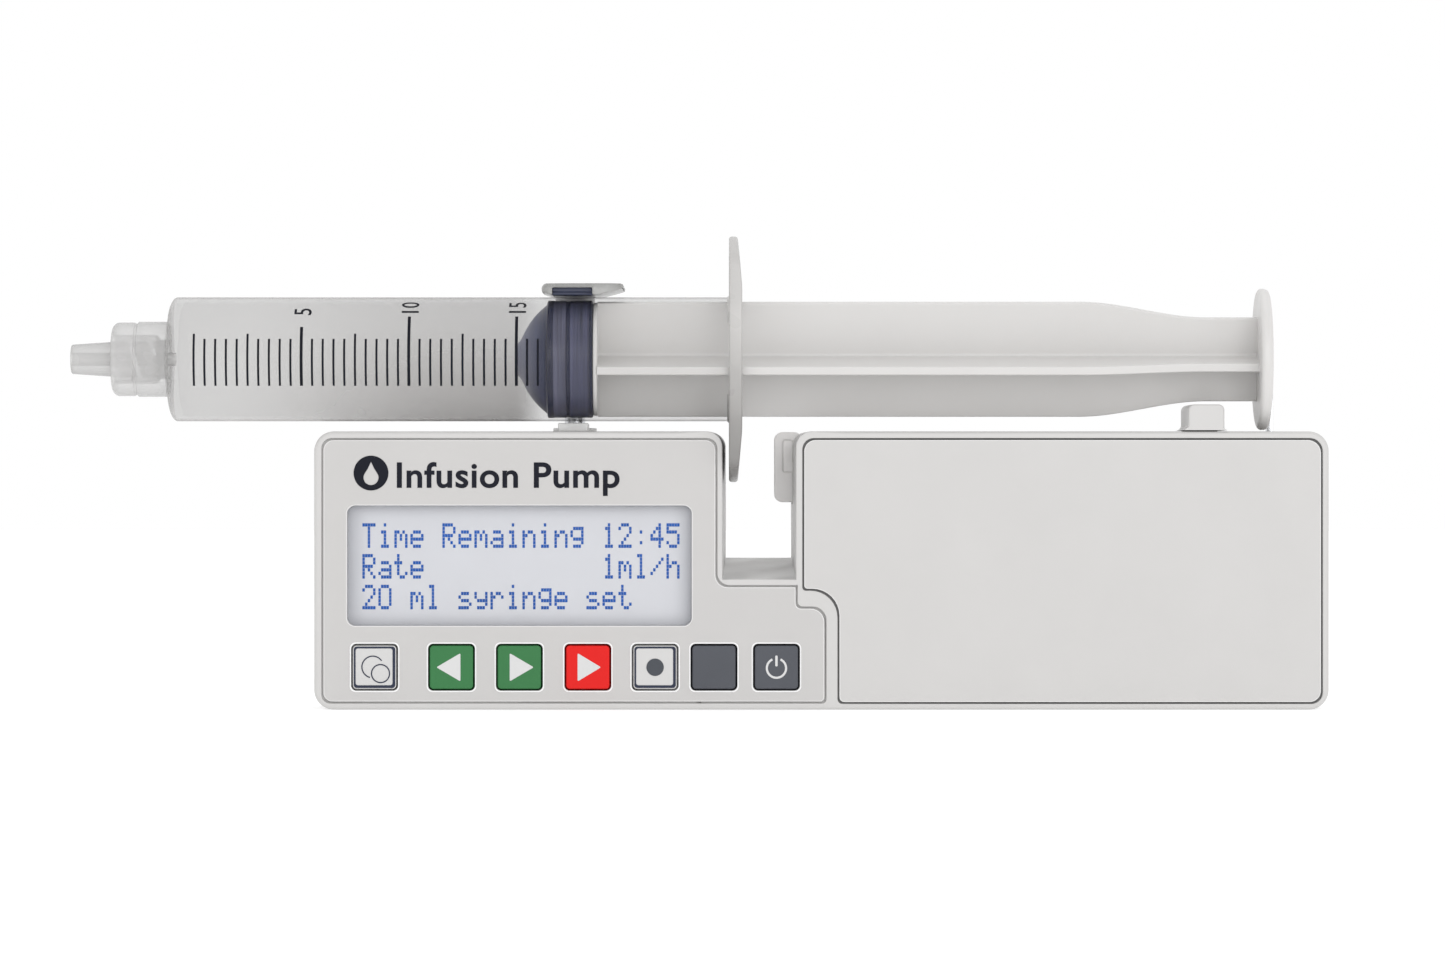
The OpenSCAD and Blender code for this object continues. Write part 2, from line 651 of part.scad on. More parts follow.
module flange_sensor() color([0.72, 0.72, 0.71]) difference() {
    union() {
        along_y(sensor_y0, sensor_y1) {
            round_rect(sensor_x0, sensor_x1, sensor_z0, case_h, 1.4);
            translate([sensor_x1 - 2, sensor_z0]) square([2, case_h - sensor_z0 - 1.4]);
        }
        block(sensor_x1 - 0.1, sensor_inner, sensor_y0, sensor_y1, sensor_z0, case_h - wall - 0.6);
        block(slot_right + wall + 0.3, sensor_inner, sensor_y0, sensor_y1, sensor_z0 - 1.5, sensor_z0 + 0.1);
    }
    along_y(sensor_y0 - 1, sensor_y0 + 0.5)
        round_rect(sensor_x0 + 1.45, sensor_x0 + 3.15, sensor_z0 + 5.1, case_h - 1.35, 0.4);
}

module sensor_spring() color([0.7, 0.7, 0.72]) translate([sensor_inner + 0.05, sensor_mid_y, spring_z])
    rotate([0, 90, 0]) coil(1.3, 0.2, plate_l0 - sensor_inner - 0.1, 4);

module sensor_switch() color([0.1, 0.1, 0.12]) {
    block(switch_x0, plate_l0, sensor_y0 + 0.2, sensor_y1 - 0.1, sensor_z0 - 3, sensor_z0 + 2.5);
    bar_x(sensor_mid_y, sensor_z0 - 0.7, 0.6, switch_x0 - 0.15, switch_x0 + 0.1);
}

// ---------- clamp ----------

module clamp_bushes() color([0.82, 0.7, 0.42]) difference() {
    union() {
        bar_z(clamp_x, post_y, chamber_r, chamber_z1, case_h);
        bar_z(clamp_x, post_y, 3.7, case_h, case_h + 0.7);
        bar_z(clamp_x, post_y, chamber_r, chamber_z0, chamber_z0 + 3);
    }
    bar_z(clamp_x, post_y, post_r + run_gap, chamber_z0 - 1, case_h + 2);
}

module clamp_collar() color([0.7, 0.7, 0.72]) difference() {
    bar_z(clamp_x, post_y, chamber_r - run_gap, groove_z0 + 0.05, groove_z1 - 0.05);
    bar_z(clamp_x, post_y, post_r - 0.3, groove_z0 - 1, groove_z1 + 1);
}

module clamp_spring() color([0.7, 0.7, 0.72]) translate([clamp_x, post_y, groove_z1])
    coil(2.4, 0.3, chamber_z1 - groove_z1 - 0.05, 8);

module clamp_post() color([0.75, 0.76, 0.78]) difference() {
    bar_z(clamp_x, post_y, post_r, chamber_z0 + 1, clamp_under + arm_t);
    difference() {
        bar_z(clamp_x, post_y, post_r + 1, groove_z0, groove_z1);
        bar_z(clamp_x, post_y, post_r - 0.35, groove_z0 - 1, groove_z1 + 1);
    }
}

module clamp_arm() color([0.17, 0.19, 0.31]) difference() {
    union() {
        block(pad_x0, pad_x1, arm_front, post_y, clamp_under + pad_t, clamp_under + arm_t);
        bar_z(clamp_x, post_y, hub_r, clamp_under - 2.2, clamp_under + arm_t);
    }
    bar_z(clamp_x, post_y, post_r, clamp_under - 3, clamp_under + 2);
}

module clamp_pad() color([0.17, 0.19, 0.31])
    block(pad_x0, pad_x1, arm_front + 0.4, 3, clamp_under, clamp_under + pad_t);

// The clear finger tab: a boat-shaped section with a channel for the arm
module clamp_tab() color([0.75, 0.75, 0.74, 0.6]) difference() {
    intersection() {
        along_y(tab_y0, tab_y1) polygon(concat(
            arc(tab_x0 + 0.95, clamp_under + 0.95, 0.95, 100, 210),
            [[pad_x0, clamp_under], [pad_x1 + 1, clamp_under]],
            [[tab_x1 - 1.2, clamp_under + 0.75]],
            arc(tab_x1 - 0.5, clamp_under + 1.4, 0.5, -50, 90, 5)));
        translate([0, 0, clamp_under - 1]) linear_extrude(4)
            round_rect(tab_x0, tab_x1, tab_y0, tab_y1, 3);
    }
    block(pad_x0, pad_x1, tab_y0 - 1, tab_y1 + 1, clamp_under - 1, clamp_under + arm_t);
    bar_z(clamp_x, post_y, hub_r, clamp_under - 1, clamp_under + arm_t);
}

module saddle_pad() color([0.17, 0.19, 0.31])
    block(clamp_x - 2.5, clamp_x + 2.5, -6, 5, case_h, axis_z - barrel_r - free_gap);

// ---------- syringe ----------

// Outline of the finger flange, drawn in Y and Z
module flange_outline() translate([axis_y, axis_z]) intersection() {
    circle(flange_h / 2);
    round_rect(-flange_w / 2, flange_w / 2, -flange_h / 2, flange_h / 2, 4);
}

module syringe_barrel() color([0.8, 0.8, 0.79, 0.5]) difference() {
    union() {
        turned(concat(
            [[0, nozzle_end], [2.2, nozzle_end], [2.48, nozzle_end + 0.3], [2.93, collar_left],
                [3.15, barrel_left]],
            [for (p = arc(0, 0, 1, 180, 90, 6)) [barrel_r - 3.5 + 3.5 * p[1], barrel_left + 1.5 + 1.5 * p[0]]],
            [[barrel_r, flange_right], [0, flange_right]]));
        along_x(flange_left, flange_right) flange_outline();
    }
    turned([[0, nozzle_end - 1], [1.1, nozzle_end - 1], [1.1, barrel_left + 1.6], [bore_r - 2, barrel_left + 2.2],
        [bore_r, barrel_left + 3.2], [bore_r, -19.6], [bore_r - 0.05, -19.4], [bore_r - 0.05, -19.2],
        [bore_r, -19], [bore_r, flange_right + 1], [0, flange_right + 1]]);
}

module luer_collar() color([0.82, 0.82, 0.81, 0.5]) turned(concat(
    [[4.1, collar_left], [4.6, collar_left]],
    [for (p = arc(0, 0, 1, 180, 90, 6)) [6.3 - 1.7 + 1.7 * p[1], collar_left + 1.2 + 1.2 * p[0]]],
    [[6.3, barrel_left], [3.2, barrel_left], [3.2, barrel_left - 1.4], [4.1, barrel_left - 2]]));

// Half the height of the plunger's ribs, along X
function rib_half(x) = let (t = min(1, max(0, (x - neck_from) / (neck_to - neck_from))))
    rib_reach - (rib_reach - rib_end) * t * t * (3 - 2 * t);

module plunger_rod() color([0.84, 0.83, 0.82]) {
    rib_x = [for (i = [0:12]) neck_from + (neck_to - neck_from) * i / 12];
    half = concat([[ring_right + disc_t - 0.1, rib_half(0)]], [for (x = rib_x) [x, rib_half(x)]],
        [[thumb_left + 0.1, rib_half(thumb_left)]]);
    turned([[0, ring_right], [bore_r - 0.4, ring_right], [bore_r - 0.4, ring_right + disc_t],
        [0, ring_right + disc_t]]);
    turned([[0, ring_left + 1.5], [4.5, ring_left + 1.5], [4.5, ring_right], [0, ring_right]]);
    translate([0, axis_y, axis_z]) for (a = [0, 90]) rotate([rib_turn + a, 0, 0])
        along_y(-0.7, 0.7) polygon(concat(half, [for (i = [len(half) - 1:-1:0]) [half[i][0], -half[i][1]]]));
    turned([[0, thumb_left], [thumb_d / 2 - 0.5, thumb_left], [thumb_d / 2, thumb_left + 0.6],
        [thumb_d / 2, thumb_right - 0.6], [thumb_d / 2 - 0.5, thumb_right], [0, thumb_right]]);
}

module plunger_stopper() color([0.18, 0.2, 0.32]) difference() {
    turned([[0, stopper_left], [2.6, stopper_left], [3.1, stopper_left + 0.4], [6.6, -48], [8.9, ring_left - 0.2],
        [bore_r - run_gap, ring_left + 0.3], [bore_r - run_gap, -42.8], [bore_r - 0.5, -42.4],
        [bore_r - 0.5, -41.6], [bore_r - run_gap, -41.2], [bore_r - run_gap, ring_right - 0.3],
        [9.1, ring_right], [0, ring_right]]);
    turned([[0, ring_left + 1.5], [4.5, ring_left + 1.5], [4.5, ring_right + 1], [0, ring_right + 1]]);
}

front_case();
rear_case();
case_gasket();
case_screws();
keypad_panel();
drive_cover();
display_window();
lcd_glass();
backlight();
display_holder();
key_mat();
key_board();
main_board();
board_chips();
buzzer();
ribbon_cable();
mode_key();
back_key();
next_key();
start_key();
stop_key();
light_key();
power_key();
drive_frame();
guide_rods();
screw_bearings();
lead_screw();
screw_gear();
motor_gear();
motor_gearbox();
drive_motor();
carriage();
drive_nut();
actuator_head();
plunger_pusher();
battery();
battery_contacts();
battery_door();
flange_sensor();
sensor_spring();
sensor_switch();
clamp_bushes();
clamp_collar();
clamp_spring();
clamp_post();
clamp_arm();
clamp_pad();
clamp_tab();
saddle_pad();
syringe_barrel();
luer_collar();
plunger_rod();
plunger_stopper();
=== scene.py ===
import math

import bmesh
import bpy
from mathutils import Matrix, Vector


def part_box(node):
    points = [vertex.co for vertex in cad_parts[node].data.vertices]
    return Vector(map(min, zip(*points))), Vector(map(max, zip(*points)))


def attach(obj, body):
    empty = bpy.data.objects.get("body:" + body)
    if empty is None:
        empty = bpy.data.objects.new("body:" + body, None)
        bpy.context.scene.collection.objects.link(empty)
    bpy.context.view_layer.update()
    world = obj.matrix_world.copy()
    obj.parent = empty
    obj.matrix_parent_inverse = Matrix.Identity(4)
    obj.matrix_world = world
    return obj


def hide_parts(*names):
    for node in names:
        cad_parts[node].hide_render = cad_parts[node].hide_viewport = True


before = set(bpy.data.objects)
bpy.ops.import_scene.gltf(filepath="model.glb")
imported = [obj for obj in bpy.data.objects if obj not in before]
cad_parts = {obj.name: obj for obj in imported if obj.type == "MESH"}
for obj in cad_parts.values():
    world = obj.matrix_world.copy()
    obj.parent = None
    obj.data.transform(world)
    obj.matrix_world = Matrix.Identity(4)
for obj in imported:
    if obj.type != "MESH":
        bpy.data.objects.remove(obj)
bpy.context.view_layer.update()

# Everything is built in millimetres, in the frame's own axes: X right, Y to the rear, Z up.
MM = 0.001
SEAM_ANGLE = 24  # a CAD edge that turns by more degrees than this is a real edge
PRINT_THICK, PRINT_LIFT = 0.05, 0.02  # a printed shape's thickness, and its height over what carries it


def box(node):
    """A CAD node's lowest and highest corner in millimetres."""
    low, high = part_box(node)
    return low / MM, high / MM


CASE_LOW, CASE_HIGH = box("front_case")[0], box("battery_door")[1]
FRONT_Y = CASE_LOW.y
REAR_Y = CASE_HIGH.y
PARTING_Y = box("front_case")[1].y
CASE_TOP = box("front_case")[1].z
PLATE_BACK = box("keypad_panel")[1].y
BARREL_LOW, BARREL_HIGH = box("syringe_barrel")
COLLAR_LOW, COLLAR_HIGH = box("luer_collar")
PLUNGER_LOW, PLUNGER_HIGH = box("plunger_rod")
STOPPER_LOW, STOPPER_HIGH = box("plunger_stopper")
AXIS_Y = (STOPPER_LOW.y + STOPPER_HIGH.y) / 2
AXIS_Z = (STOPPER_LOW.z + STOPPER_HIGH.z) / 2
STOPPER_R = (STOPPER_HIGH.z - STOPPER_LOW.z) / 2
STOPPER_GAP, BARREL_WALL = 0.05, 0.5
BORE_R = STOPPER_R + STOPPER_GAP
BARREL_R = BORE_R + BARREL_WALL
BARREL_LEFT = COLLAR_HIGH.x
FLANGE_R = (BARREL_HIGH.z - BARREL_LOW.z) / 2
FLANGE_HALF_W = (BARREL_HIGH.y - BARREL_LOW.y) / 2
FLANGE_RIGHT = BARREL_HIGH.x
FLANGE_LEFT = FLANGE_RIGHT - 2.2
RIB_TURN = math.radians(12.7)
# The plunger's ribs narrow from one half height to the other between these two places
RIB_REACH, RIB_END = 9.75, 7.1
NARROW_FROM, NARROW_TO = 43.5, 64.5


# ---------- materials ----------

MATERIALS = {}


class Shader:
    """A material with one Principled shader, and shorthand for the nodes that feed it. It enters MATERIALS
    under the name given here."""

    def __init__(self, name):
        self.material = bpy.data.materials.new(name)
        MATERIALS[name] = self.material
        self.material.use_nodes = True
        self.nodes = self.material.node_tree.nodes
        self.links = self.material.node_tree.links
        self.bsdf = self.nodes["Principled BSDF"]
        self.place = self.nodes.new("ShaderNodeTexCoord").outputs["Object"]

    def set(self, **values):
        for socket, value in values.items():
            self.bsdf.inputs[socket.replace("_", " ")].default_value = value
        return self

    def add(self, kind, **settings):
        node = self.nodes.new("ShaderNode" + kind)
        for key, value in settings.items():
            setattr(node, key, value)
        return node

    def link(self, source, target):
        self.links.new(source, target)

    def stretched(self, scale):
        """The place on the object, in metres, scaled along each axis."""
        mapping = self.add("Mapping")
        mapping.inputs["Scale"].default_value = scale
        self.link(self.place, mapping.inputs["Vector"])
        return mapping.outputs["Vector"]

    def noise(self, size, detail=2.0, stretch=None):
        """Noise whose features are about size millimetres across."""
        node = self.add("TexNoise")
        node.inputs["Scale"].default_value = 1 / (size * MM)
        node.inputs["Detail"].default_value = detail
        self.link(self.stretched(stretch) if stretch else self.place, node.inputs["Vector"])
        return node.outputs["Fac"]

    def ramp(self, source, low, high):
        """The source's middle range, 0.3 to 0.7, spread to low..high."""
        node = self.add("MapRange")
        node.inputs["From Min"].default_value = 0.3
        node.inputs["From Max"].default_value = 0.7
        node.inputs["To Min"].default_value = low
        node.inputs["To Max"].default_value = high
        self.link(source, node.inputs["Value"])
        return node.outputs["Result"]

    def between(self, source, start, end, low, high):
        """Goes from low to high as the source goes from start to end, in millimetres."""
        node = self.add("MapRange", interpolation_type="SMOOTHSTEP")
        node.inputs["From Min"].default_value = start * MM
        node.inputs["From Max"].default_value = end * MM
        node.inputs["To Min"].default_value = low
        node.inputs["To Max"].default_value = high
        self.link(source, node.inputs["Value"])
        return node.outputs["Result"]

    def joined(self, operation, a, b):
        node = self.add("Math", operation=operation)
        self.link(a, node.inputs[0])
        self.link(b, node.inputs[1])
        return node.outputs["Value"]

    def times(self, a, b):
        return self.joined("MULTIPLY", a, b)

    def plus(self, a, b):
        return self.joined("ADD", a, b)

    def tone(self, colour, source, spread):
        """The colour, made a little darker and lighter by the source."""
        node = self.add("Mix", data_type="RGBA")
        node.inputs["A"].default_value = (*[c * (1 - spread) for c in colour], 1)
        node.inputs["B"].default_value = (*[min(1, c * (1 + spread)) for c in colour], 1)
        self.link(self.ramp(source, 0, 1), node.inputs["Factor"])
        return node.outputs["Result"]

    def bump(self, source, height):
        """A bump of about height millimetres."""
        node = self.add("Bump")
        node.inputs["Distance"].default_value = height * MM
        node.inputs["Strength"].default_value = 1
        self.link(source, node.inputs["Height"])
        self.link(node.outputs["Normal"], self.bsdf.inputs["Normal"])


def plastic(name, colour, rough=0.45, grain=0.35, height=0.004, spread=0.012, **values):
    """Moulded plastic: a fine spark-eroded grain, and a slight unevenness of colour and gloss."""
    s = Shader(name).set(**values)
    s.link(s.tone(colour, s.noise(14, 3), spread), s.bsdf.inputs["Base Color"])
    s.link(s.ramp(s.noise(5, 2), rough - 0.04, rough + 0.04), s.bsdf.inputs["Roughness"])
    s.bump(s.noise(grain, 2), height)


def metal(name, colour, rough=0.3, stretch=(1, 1, 1), height=0.002):
    """Machined metal: fine marks along one direction, from stretched noise."""
    s = Shader(name).set(Metallic=1.0)
    marks = s.noise(0.25, 3, stretch)
    s.link(s.tone(colour, marks, 0.06), s.bsdf.inputs["Base Color"])
    s.link(s.ramp(marks, rough - 0.07, rough + 0.09), s.bsdf.inputs["Roughness"])
    s.bump(marks, height)


def clear(name, tint, alpha, edge, rough=0.25, grain=1.2, height=0.002, outline=1.0, **values):
    """See-through plastic: a thin tint that gathers towards the edges of the form, where the outline
    can also darken it."""
    s = Shader(name).set(**values)
    rim = s.add("LayerWeight")
    rim.inputs["Blend"].default_value = 0.25
    dark = s.add("Mix", data_type="RGBA")
    dark.inputs["B"].default_value = (*[c * outline for c in tint], 1)
    s.link(s.tone(tint, s.noise(9, 2), 0.03), dark.inputs["A"])
    s.link(rim.outputs["Facing"], dark.inputs["Factor"])
    s.link(dark.outputs["Result"], s.bsdf.inputs["Base Color"])
    s.link(s.ramp(s.noise(6, 2), rough - 0.04, rough + 0.04), s.bsdf.inputs["Roughness"])
    s.bump(s.noise(grain, 1), height)
    facing = s.add("LayerWeight")
    facing.inputs["Blend"].default_value = 0.35
    amount = s.add("MapRange")
    amount.inputs["To Min"].default_value = alpha
    amount.inputs["To Max"].default_value = edge
    s.link(facing.outputs["Facing"], amount.inputs["Value"])
    s.link(amount.outputs["Result"], s.bsdf.inputs["Alpha"])


def display_material():
    """The lit display: even in the middle, and darker towards its edges, where painted shade stands in for
    the inner shadow of the window's recess; its glow dims there with it.
    """
    s = Shader("lcd").set(Specular_IOR_Level=0.3, Roughness=0.5)
    low, high = box("display_window")
    split = s.add("SeparateXYZ")
    s.link(s.place, split.inputs["Vector"])
    # Painted shade: the colour and its glow darken towards the window's edges, for the recess's inner
    # shadow.
    across = s.times(s.between(split.outputs["X"], low.x - 2, low.x + 3.5, 0, 1),
                     s.between(split.outputs["X"], high.x + 2, high.x - 3.5, 0, 1))
    upward = s.times(s.between(split.outputs["Z"], low.z - 2, low.z + 2.5, 0, 1),
                     s.between(split.outputs["Z"], high.z + 2, high.z - 2.5, 0, 1))
    shade = s.add("Mix", data_type="RGBA")
    shade.inputs["A"].default_value = (0.38, 0.385, 0.41, 1)
    s.link(s.tone((0.61, 0.615, 0.64), s.noise(6, 2), 0.01), shade.inputs["B"])
    s.link(s.times(across, upward), shade.inputs["Factor"])
    s.link(shade.outputs["Result"], s.bsdf.inputs["Base Color"])
    s.link(shade.outputs["Result"], s.bsdf.inputs["Emission Color"])
    s.bsdf.inputs["Emission Strength"].default_value = 0.12


def barrel_material():
    """The barrel's clear plastic. Its rear half is hazier and darker, painted shade for the rear wall;
    painted shade also darkens it towards the stopper and lower down; and its outline gathers a thin dark
    line.
    """
    s = Shader("barrel_clear").set(Specular_IOR_Level=0.25)
    s.link(s.tone((0.262, 0.250, 0.240), s.noise(9, 2), 0.03), s.bsdf.inputs["Base Color"])
    s.link(s.ramp(s.noise(6, 2), 0.24, 0.32), s.bsdf.inputs["Roughness"])
    s.bump(s.noise(1.5, 1), 0.0005)
    split = s.add("SeparateXYZ")
    s.link(s.place, split.inputs["Vector"])
    # Painted shade: the dark tint grows denser towards the rear wall, less so right of the stopper.
    haze_and_rear_shade = s.times(s.between(split.outputs["Y"], AXIS_Y - 3, AXIS_Y + 5, 0.07, 0.42),
                   s.between(split.outputs["X"], -52, -44, 1.0, 0.72))
    # Painted shade: darker towards the stopper's rest place and towards the lower side, fading out right of
    # the stopper.
    rise = s.between(split.outputs["X"], -104, -56, 0.0, 0.30)
    fall = s.between(split.outputs["X"], -52, -46, 1.0, 0.0)
    low = s.between(split.outputs["Z"], AXIS_Z + 8, AXIS_Z - 9, 0.25, 1.0)
    shade = s.times(s.times(rise, fall), low)
    facing = s.add("LayerWeight")
    facing.inputs["Blend"].default_value = 0.5
    rim = s.add("MapRange")
    rim.inputs["From Min"].default_value = 0.68
    rim.inputs["From Max"].default_value = 0.97
    rim.inputs["To Max"].default_value = 0.5
    s.link(facing.outputs["Facing"], rim.inputs["Value"])
    total = s.add("Math", operation="ADD", use_clamp=True)
    s.link(s.plus(haze_and_rear_shade, shade), total.inputs[0])
    s.link(rim.outputs["Result"], total.inputs[1])
    s.link(total.outputs["Value"], s.bsdf.inputs["Alpha"])


def flange_material():
    """The flange's milky moulded plastic, with painted shade: lighter high up and darker towards its lower
    half.
    """
    s = Shader("flange_clear").set(Specular_IOR_Level=0.4)
    split = s.add("SeparateXYZ")
    s.link(s.place, split.inputs["Vector"])
    # Painted shade: dark colour low on the flange, light colour high up.
    shade = s.add("Mix", data_type="RGBA")
    s.link(s.tone((0.27, 0.262, 0.255), s.noise(9, 2), 0.03), shade.inputs["A"])
    shade.inputs["B"].default_value = (0.50, 0.49, 0.48, 1)
    s.link(s.between(split.outputs["Z"], AXIS_Z - 16, AXIS_Z + 10, 0, 1), shade.inputs["Factor"])
    s.link(shade.outputs["Result"], s.bsdf.inputs["Base Color"])
    s.link(s.ramp(s.noise(6, 2), 0.26, 0.34), s.bsdf.inputs["Roughness"])
    s.bsdf.inputs["Alpha"].default_value = 0.9


def stopper_material(name, colour, spread, painted_nose_light=0.0):
    """Siliconised navy rubber with fine rings around it, and a painted highlight, a paler colour on its
    nose, if asked for.
    """
    s = Shader(name).set(Specular_IOR_Level=0.3)
    rings = s.noise(0.5, 2, (1, 0.02, 0.02))
    split = s.add("SeparateXYZ")
    s.link(s.place, split.inputs["Vector"])
    # Painted highlight: the nose's cone is paler, where it would catch the light.
    nose = s.between(split.outputs["X"], STOPPER_LOW.x + 5.6, STOPPER_LOW.x, 0.0, painted_nose_light)
    nose_highlight = s.add("Mix", data_type="RGBA")
    nose_highlight.inputs["B"].default_value = (0.14, 0.155, 0.24, 1)
    s.link(nose, nose_highlight.inputs["Factor"])
    s.link(s.tone(colour, rings, spread), nose_highlight.inputs["A"])
    s.link(nose_highlight.outputs["Result"], s.bsdf.inputs["Base Color"])
    s.link(s.ramp(rings, 0.28, 0.42), s.bsdf.inputs["Roughness"])
    s.bump(rings, 0.02)


def build_materials():
    """Every material of the object, by name."""
    plastic("case_plastic", (0.545, 0.537, 0.529), 0.42)
    plastic("panel_film", (0.51, 0.50, 0.493), 0.5, grain=0.25, height=0.005)
    plastic("cover_plastic", (0.535, 0.526, 0.518), 0.45, grain=0.4, height=0.005)
    # Far lighter than the case plastic: painted light for the sensor's place in the slot's shade.
    plastic("sensor_plastic", (0.90, 0.885, 0.875), 0.45)
    clear("window_clear", (0.30, 0.32, 0.38), 0.04, 0.3, 0.08)
    display_material()
    plastic("lcd_ink", (0.005, 0.095, 0.42), 0.5, spread=0.12, Specular_IOR_Level=0.1)
    plastic("print_ink", (0.006, 0.007, 0.014), 0.5, grain=0.2, spread=0.15, Specular_IOR_Level=0.15)
    plastic("icon_ink", (0.60, 0.60, 0.60), 0.4, grain=0.2)
    plastic("navy_ink", (0.022, 0.028, 0.052), 0.4, grain=0.2, spread=0.1, Specular_IOR_Level=0.2)
    plastic("grey_ink", (0.062, 0.068, 0.080), 0.4, grain=0.2, spread=0.05, Specular_IOR_Level=0.2)
    plastic("scale_ink", (0.006, 0.007, 0.012), 0.5, grain=0.15, spread=0.3, Specular_IOR_Level=0.1)
    plastic("light_plastic", (0.88, 0.9, 0.93), 0.6)
    plastic("dark_plastic", (0.03, 0.03, 0.034), 0.5, height=0.008)
    plastic("key_rubber", (0.6, 0.6, 0.57), 0.65, height=0.008)
    plastic("gasket_rubber", (0.05, 0.05, 0.055), 0.7, height=0.008)
    plastic("circuit_board", (0.012, 0.10, 0.035), 0.35, grain=0.8, spread=0.2)
    plastic("chip_plastic", (0.02, 0.02, 0.022), 0.6, height=0.006, spread=0.1)
    plastic("cable_film", (0.55, 0.38, 0.12), 0.3, grain=1.0, spread=0.08)
    plastic("key_white", (0.56, 0.555, 0.55), 0.35, grain=0.2)
    plastic("key_green", (0.032, 0.165, 0.052), 0.38, grain=0.2, spread=0.04, Specular_IOR_Level=0.25)
    plastic("key_red", (0.68, 0.012, 0.010), 0.38, grain=0.2, spread=0.03, Specular_IOR_Level=0.15)
    plastic("key_grey", (0.074, 0.079, 0.093), 0.38, grain=0.2, spread=0.04, Specular_IOR_Level=0.25)
    plastic("white_bush", (0.90, 0.90, 0.89), 0.5)
    clear("saddle_clear", (0.93, 0.93, 0.92), 0.72, 0.8, 0.4)
    plastic("seam_shadow", (0.17, 0.17, 0.17), 0.7)
    plastic("arm_plastic", (0.70, 0.70, 0.71), 0.4)
    metal("steel", (0.62, 0.63, 0.65), 0.25, (0.1, 1, 1))
    metal("spring_steel", (0.5, 0.5, 0.53), 0.3)
    metal("frame_metal", (0.60, 0.61, 0.63), 0.45, height=0.006)
    metal("bronze", (0.55, 0.36, 0.13), 0.3, (0.1, 1, 1))
    plastic("gear_plastic", (0.78, 0.75, 0.62), 0.4)
    plastic("carriage_plastic", (0.06, 0.065, 0.075), 0.5, grain=0.6, height=0.01, spread=0.1)
    plastic("battery_can", (0.045, 0.06, 0.10), 0.3, grain=2.0, spread=0.06)
    plastic("navy_rubber", (0.034, 0.042, 0.085), 0.5, grain=0.25, height=0.008, spread=0.08)
    plastic("navy_plastic", (0.036, 0.044, 0.088), 0.35, spread=0.06)
    clear("smoke_clear", (0.36, 0.36, 0.35), 0.62, 0.97, 0.3)
    barrel_material()
    clear("bore_clear", (0.30, 0.295, 0.29), 0.015, 0.05, 0.3, Specular_IOR_Level=0.1)
    flange_material()
    clear("nozzle_clear", (0.60, 0.595, 0.59), 0.5, 0.9, 0.25, outline=0.45)
    clear("collar_clear", (0.66, 0.655, 0.65), 0.36, 0.9, 0.25, outline=0.5)
    clear("thread_clear", (0.95, 0.95, 0.95), 0.9, 0.95, 0.25)
    plastic("plunger_plastic", (0.61, 0.60, 0.59), 0.4, grain=0.5, spread=0.01,
            Subsurface_Weight=0.15, Subsurface_Radius=(0.0015, 0.0014, 0.0013))
    stopper_material("stopper_rubber", (0.022, 0.028, 0.066), 0.4, painted_nose_light=0.75)
    # Lighter and darker copies of the navy rubber: painted light and painted shade for the stopper's bands.
    stopper_material("stopper_painted_highlight", (0.078, 0.080, 0.128), 0.35)
    stopper_material("stopper_painted_light", (0.046, 0.049, 0.090), 0.4)
    stopper_material("stopper_painted_shade", (0.007, 0.010, 0.036), 0.3)
    # A light ring on the panel round each key: a painted highlight for the rim of each key opening.
    plastic("halo_highlight", (0.80, 0.80, 0.80), 0.4, grain=0.2)
    # Smoother plastic for the plates' rounded edges, painted lighter than the plates as a painted
    # highlight.
    plastic("edge_highlight_plastic", (0.72, 0.715, 0.71), 0.3)


# ---------- building ----------

def cad_copy(node, x_cuts=(), z_cuts=()):
    """A copy of a CAD node in millimetres, with its flat triangles joined into whole faces. The cuts run
    through the holes in its flat faces, so that no face is left with a hole in it."""
    bm = bmesh.new()
    bm.from_mesh(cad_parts[node].data)
    bmesh.ops.scale(bm, vec=(1 / MM,) * 3, verts=bm.verts)
    bmesh.ops.remove_doubles(bm, verts=bm.verts, dist=0.001)
    planes = [((x, 0, 0), (1, 0, 0)) for x in x_cuts] + [((0, 0, z), (0, 0, 1)) for z in z_cuts]
    for place, normal in planes:
        parts = bm.verts[:] + bm.edges[:] + bm.faces[:]
        made = bmesh.ops.bisect_plane(bm, geom=parts, plane_co=place, plane_no=normal, dist=0.002)
        for part in made["geom_cut"]:
            if isinstance(part, bmesh.types.BMEdge):
                part.seam = True
    bmesh.ops.dissolve_limit(bm, angle_limit=math.radians(1), verts=bm.verts, edges=bm.edges,
                             use_dissolve_boundaries=False, delimit={"SEAM"})
    return bm


